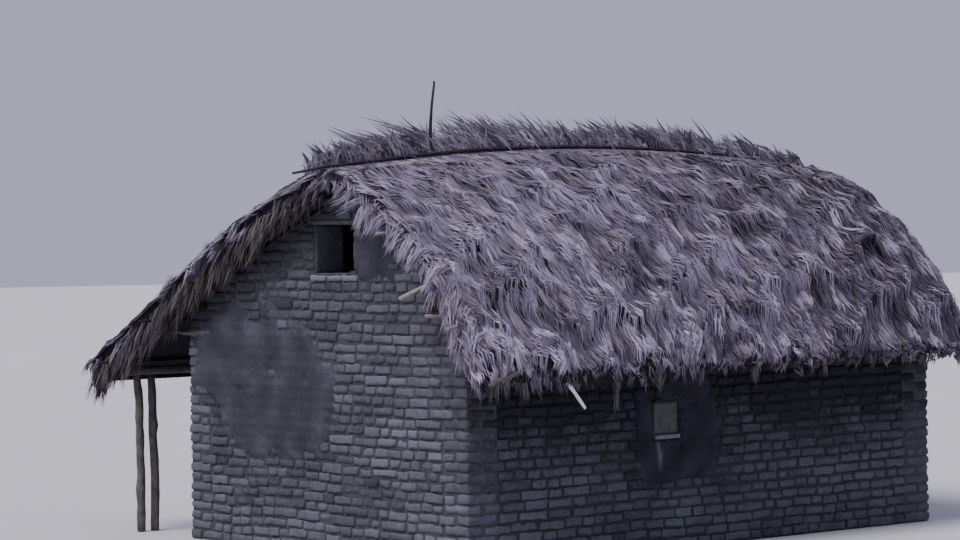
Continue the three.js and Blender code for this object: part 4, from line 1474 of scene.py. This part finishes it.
def fringe_verge(layer, cover, end, gap, per_tuft, fall, reach, under=0.0, middle=FRINGE_SHADE, width=1.0):
    """Straw ends that splay out over a verge and hang down from it, shorter by the ridge.

    end is -1 at the front, and middle is the shade."""
    draw = layer.draw
    rows = cover.rows(gap)
    rows = rows[np.abs(cover.edge - rows) > 0.12]
    x, y = verge_places(draw, cover, end, rows, gap)
    depth = draw.uniform(0.0, 0.14, x.size) + under
    root = np.stack([x, y, cover.height(x, y) - depth], -1)
    by_ridge_end = 0.8 if cover.down > 0 else 1.5
    by_ridge = np.interp(cover.walk(x), [0.3, by_ridge_end], [0.45, 1])
    drop = draw.uniform(*fall, x.size) * by_ridge
    slide = drop * draw.uniform(0.2, 0.8, x.size)
    slide = np.minimum(slide, np.maximum((cover.edge - x) * cover.down + EAVE_REACH * 0.6, 0))
    out = draw.uniform(*reach, x.size)
    tip = root + np.stack([cover.down * slide, end * out, -drop - 0.3 * slide], -1)
    shade = middle + draw.normal(0, 0.12, x.size)
    layer.bundles(root, tip, per_tuft, shade, (0, end, 0.5), root_spread=0.03, tip_spread=0.02,
                  bow=0.22 * drop.mean(), warm=0.27, width=width)


def line_verge(layer, cover, end, gap, per_tuft):
    """Straw that lies along a verge and leans a little over it. end is -1 at the front."""
    draw = layer.draw
    x, y = verge_places(draw, cover, end, np.tile(cover.rows(gap), 2), gap, -0.02)
    heading = end * np.abs(draw.normal(0.1, 0.1, x.size))
    length = draw.uniform(*VERGE_LENGTH, x.size)
    lift = draw.uniform(0.004, 0.02, x.size)
    shade = VERGE_SHADE + draw.normal(0, 0.08, x.size)
    lay_tufts(layer, cover, x, y, heading, length, lift, shade, per_tuft, fan=0.05, sink=0.02)


def ridge_tops():
    """The height of the standing straw along the ridge, read from its CAD node."""
    low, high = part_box("ridge_thatch")
    tree = tree_of("ridge_thatch")
    xs = np.linspace(low.x + 0.02, high.x - 0.02, 14)
    ys = np.linspace(low.y + 0.01, high.y - 0.01, 90)
    return ys, np.array([max(top_at(tree, x, y, high.z) for x in xs) for y in ys])


def stand_ridge(layer, near, porch, seed):
    """Straw ends that stand up in ragged tufts behind the ridge pole and lean towards the front."""
    draw = layer.draw
    ys, tops = ridge_tops()
    gap = 0.09
    rows = 5
    y = np.arange(ys[0], ys[-1], gap)
    y = np.concatenate([strayed(draw, y, gap) for _ in range(rows)])
    x = near.low.x - draw.uniform(0.0, 0.5, y.size) ** 1.3
    foot = porch.height(x, y)
    clumps = ripples(y[:, None], 0.5, seed + 1)
    ragged = np.clip(0.75 + 0.35 * clumps + draw.normal(0, 0.2, y.size), 0.2, 1.3)
    rise = (np.interp(y, ys, tops) - foot) * ragged
    from_front = np.interp(y, [ys[0], ys[0] + 1.3], [0.1, 1])
    rise = rise * (0.55 + 0.45 * from_front)
    lean = draw.normal(-RIDGE_LEAN, 0.3, y.size) * from_front
    sway = from_front * (draw.normal(-RIDGE_LEAN, 0.4, y.size) + 0.3 * ripples(y[:, None], 0.9, seed + 3))
    root = np.stack([x, y, foot - 0.03], -1)
    tip = root + rise[:, None] * np.stack([lean, sway, np.ones_like(y)], -1)
    tip[:, 1] = np.clip(tip[:, 1], ys[0] - 0.05, ys[-1] + 0.25)
    shade = RIDGE_SHADE + 0.11 * ripples(y[:, None], 0.45, seed + 2) + draw.normal(0, 0.09, y.size)
    layer.bundles(root, tip, 22, shade, (1, -1, 0.6), root_spread=0.05, tip_spread=0.055,
                  bow=0.06, width=1.1)


# Bigger bundles that the photograph shows: where each starts and ends, its strands and its shade.
FRONT_BUNDLES = [
    ((1.55, -3.5, 3.9), (1.4, -3.88, 3.8), 52, 0.62),
    ((1.74, -3.5, 3.82), (1.56, -3.88, 3.72), 44, 0.5),
    ((1.72, -3.55, 3.8), (1.78, -3.82, 3.52), 80, 0.62),
    ((1.85, -3.55, 3.74), (1.93, -3.78, 3.47), 72, 0.66),
    ((2.12, -3.5, 3.68), (2.0, -3.85, 3.5), 60, 0.55),
    ((2.35, -3.55, 3.58), (2.32, -3.85, 3.3), 88, 0.66),
    ((2.5, -3.55, 3.48), (2.52, -3.84, 3.17), 88, 0.7),
    ((2.72, -3.55, 3.32), (2.66, -3.86, 3.08), 80, 0.62),
    ((2.92, -3.55, 3.15), (2.9, -3.84, 2.86), 80, 0.66),
    ((3.02, -3.56, 3.02), (3.08, -3.68, 2.55), 60, 0.48),
    ((3.12, -3.56, 2.88), (3.14, -3.7, 2.42), 88, 0.62),
    ((3.22, -3.55, 2.72), (3.2, -3.7, 2.24), 120, 0.7),
    ((3.32, -3.52, 2.56), (3.32, -3.68, 2.1), 132, 0.74),
    ((3.4, -3.5, 2.44), (3.43, -3.64, 2.08), 120, 0.7),
    ((3.47, -3.42, 2.3), (3.52, -3.52, 2.06), 80, 0.6),
    ((-0.62, -3.5, 3.66), (-0.5, -3.84, 3.4), 80, 0.5),
    ((-0.95, -3.5, 3.52), (-0.92, -3.8, 3.2), 100, 0.52),
    ((-1.2, -3.5, 3.4), (-1.28, -3.78, 3.05), 80, 0.46),
    ((-1.95, -3.5, 3.02), (-2.0, -3.76, 2.72), 68, 0.45),
]
# Single locks that hang from the near eave, as their place along it, lowest point and strands.
HANGING_LOCKS = [(-3.24, 1.74, 26), (-2.99, 1.66, 22), (-2.78, 1.72, 18), (-2.5, 1.76, 24),
                 (-1.72, 1.54, 34), (-1.3, 1.72, 18), (0.35, 1.74, 20), (1.45, 1.78, 18)]
LOCK_X = 3.5
LOCK_TOP = 2.04
LOCK_SHADE = 0.62


def make_bundles(layer):
    for root, tip, strands, shade in FRONT_BUNDLES:
        layer.bundles(np.array([root]), np.array([tip]), strands, np.array([shade]), (0.4, -1, 0.6),
                      root_spread=0.045, tip_spread=0.03, bow=0.06, warm=0.25, width=0.55)


def make_locks(layer):
    for along, lowest, strands in HANGING_LOCKS:
        root, tip = (LOCK_X, along - 0.02, LOCK_TOP), (LOCK_X + 0.03, along, lowest + 0.02)
        layer.bundles(np.array([root]), np.array([tip]), strands, np.array([LOCK_SHADE]), (1, 0, 0.3),
                      root_spread=0.022, tip_spread=0.018, bow=0.0, warm=0.2, width=0.5)


def make_slopes(near, porch):
    lay_mat("near_straw_mat", near)
    lay_mat("porch_straw_mat", porch)
    layer = Strands(201)
    thatch_slope(layer, near, 201, row_gap=0.11, tuft_gap=0.095, per_tuft=13)
    line_ledges(layer, near, 205, gap=0.07, per_tuft=12)
    layer.finish("near_straw", straw, pieces=2)
    layer = Strands(211)
    thatch_slope(layer, porch, 211, row_gap=0.13, tuft_gap=0.115, per_tuft=11)
    line_ledges(layer, porch, 215, gap=0.11, per_tuft=10)
    layer.finish("porch_straw", straw, pieces=2)


def make_eaves(near, porch):
    layer = Strands(221)
    hang_eave(layer, near, 221, gap=0.035, per_tuft=20, drop=(0.08, 0.22), width=0.7)
    make_bundles(layer)
    layer.finish("near_eave_straw", straw)
    # The fringe under the near eave takes the darker brown straw: painted shade.
    layer = Strands(225)
    hang_eave(layer, near, 225, gap=0.04, per_tuft=12, drop=(0.14, 0.27), under=0.07)
    hang_eave(layer, near, 226, gap=0.16, per_tuft=14, drop=(0.2, 0.36), under=0.05)
    make_locks(layer)
    layer.finish("near_eave_fringe", brown_shaded_straw)
    layer = Strands(223)
    hang_eave(layer, porch, 223, gap=0.04, per_tuft=12, drop=(0.1, 0.3))
    layer.finish("porch_eave_straw", straw)


def make_verges(near, porch):
    over_near, over_porch, below_porch = Strands(231), Strands(241), Strands(243)
    for end in (-1, 1):
        fringe_verge(over_near, near, end, 0.035, 24, fall=(0.12, 0.3), reach=(0.02, 0.12), width=0.6)
        fringe_verge(over_near, near, end, 0.11, 30, fall=(0.1, 0.3), reach=(0.12, 0.28), width=0.6)
        line_verge(over_porch, porch, end, 0.07, 10)
        fringe_verge(over_porch, porch, end, 0.3, 16, fall=(0.1, 0.3), reach=(0.06, 0.15))
        fringe_verge(below_porch, porch, end, 0.032, 18, fall=(0.2, 0.42), reach=(0.03, 0.13),
                     under=0.08, middle=0.34, width=0.75)
        # The innermost fringe is darkest: painted shade under the verge.
        fringe_verge(below_porch, porch, end, 0.05, 16, fall=(0.16, 0.34), reach=(0.0, 0.05),
                     under=0.24, middle=0.16, width=0.8)
    over_near.finish("near_verge_straw", straw)
    over_porch.finish("porch_verge_straw", straw)
    below_porch.finish("porch_verge_fringe", brown_shaded_straw)


def make_straw():
    near = Cover("near_thatch", 1, 2.4)
    porch = Cover("porch_thatch", -1, 1.6, looseness=0.5, slants=(0, 0, 0, 0))
    make_slopes(near, porch)
    make_eaves(near, porch)
    make_verges(near, porch)
    layer = Strands(251)
    stand_ridge(layer, near, porch, 251)
    ridge, = layer.finish("ridge_straw", dark_straw, "dark_straw")
    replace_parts(ridge, "ridge_thatch")


def make_loose_sticks():
    """Loose things that the photograph shows at the near eave, each on a line of three points."""
    for name, line, radii, material, seed, crook in (
        ("broken_batten", [(3.56, -2.8, 2.15), (3.65, -3.2, 2.05), (3.66, -3.58, 1.93)],
         [0.027, 0.026, 0.022], olive_wood, 401, 0.003),
        ("split_batten", [(2.9, -3.4, 3.03), (2.8, -3.65, 2.96), (2.65, -3.93, 2.81)],
         [0.017, 0.02, 0.022], peeled, 405, 0.002),
        ("verge_stick", [(3.2, -3.4, 2.57), (3.22, -3.58, 2.54), (3.26, -3.81, 2.5)],
         [0.017, 0.02, 0.018], peeled, 407, 0.002),
        # Its near-white finish is partly a painted highlight.
        ("white_glint_stick", [(3.48, -2.6, 2.15), (3.54, -2.41, 1.89), (3.59, -2.23, 1.63)],
         [0.021, 0.023, 0.016], white_glint_wood, 403, 0.002),
    ):
        add_pole(name, line, radii, material, seed, crook, step=0.03)


def finish_cad_nodes():
    """The CAD nodes that stay in view get their own finish."""
    finishes = {name: straw_bed for name in nodes if name.endswith("thatch")}
    for name in nodes:
        if "wall" in name and "plate" not in name:
            finishes[name] = side_mortar if "side" in name else gable_mortar
    for name, material in finishes.items():
        nodes[name].data.materials.clear()
        nodes[name].data.materials.append(material)


make_camera()
make_lights()
make_floor()
make_front_bricks()
make_rear_bricks()
make_near_bricks()
make_porch_bricks()
lay_corners()
make_plaster()
make_linings()
make_timbers()
make_poles()
make_straw()
make_loose_sticks()
finish_cad_nodes()
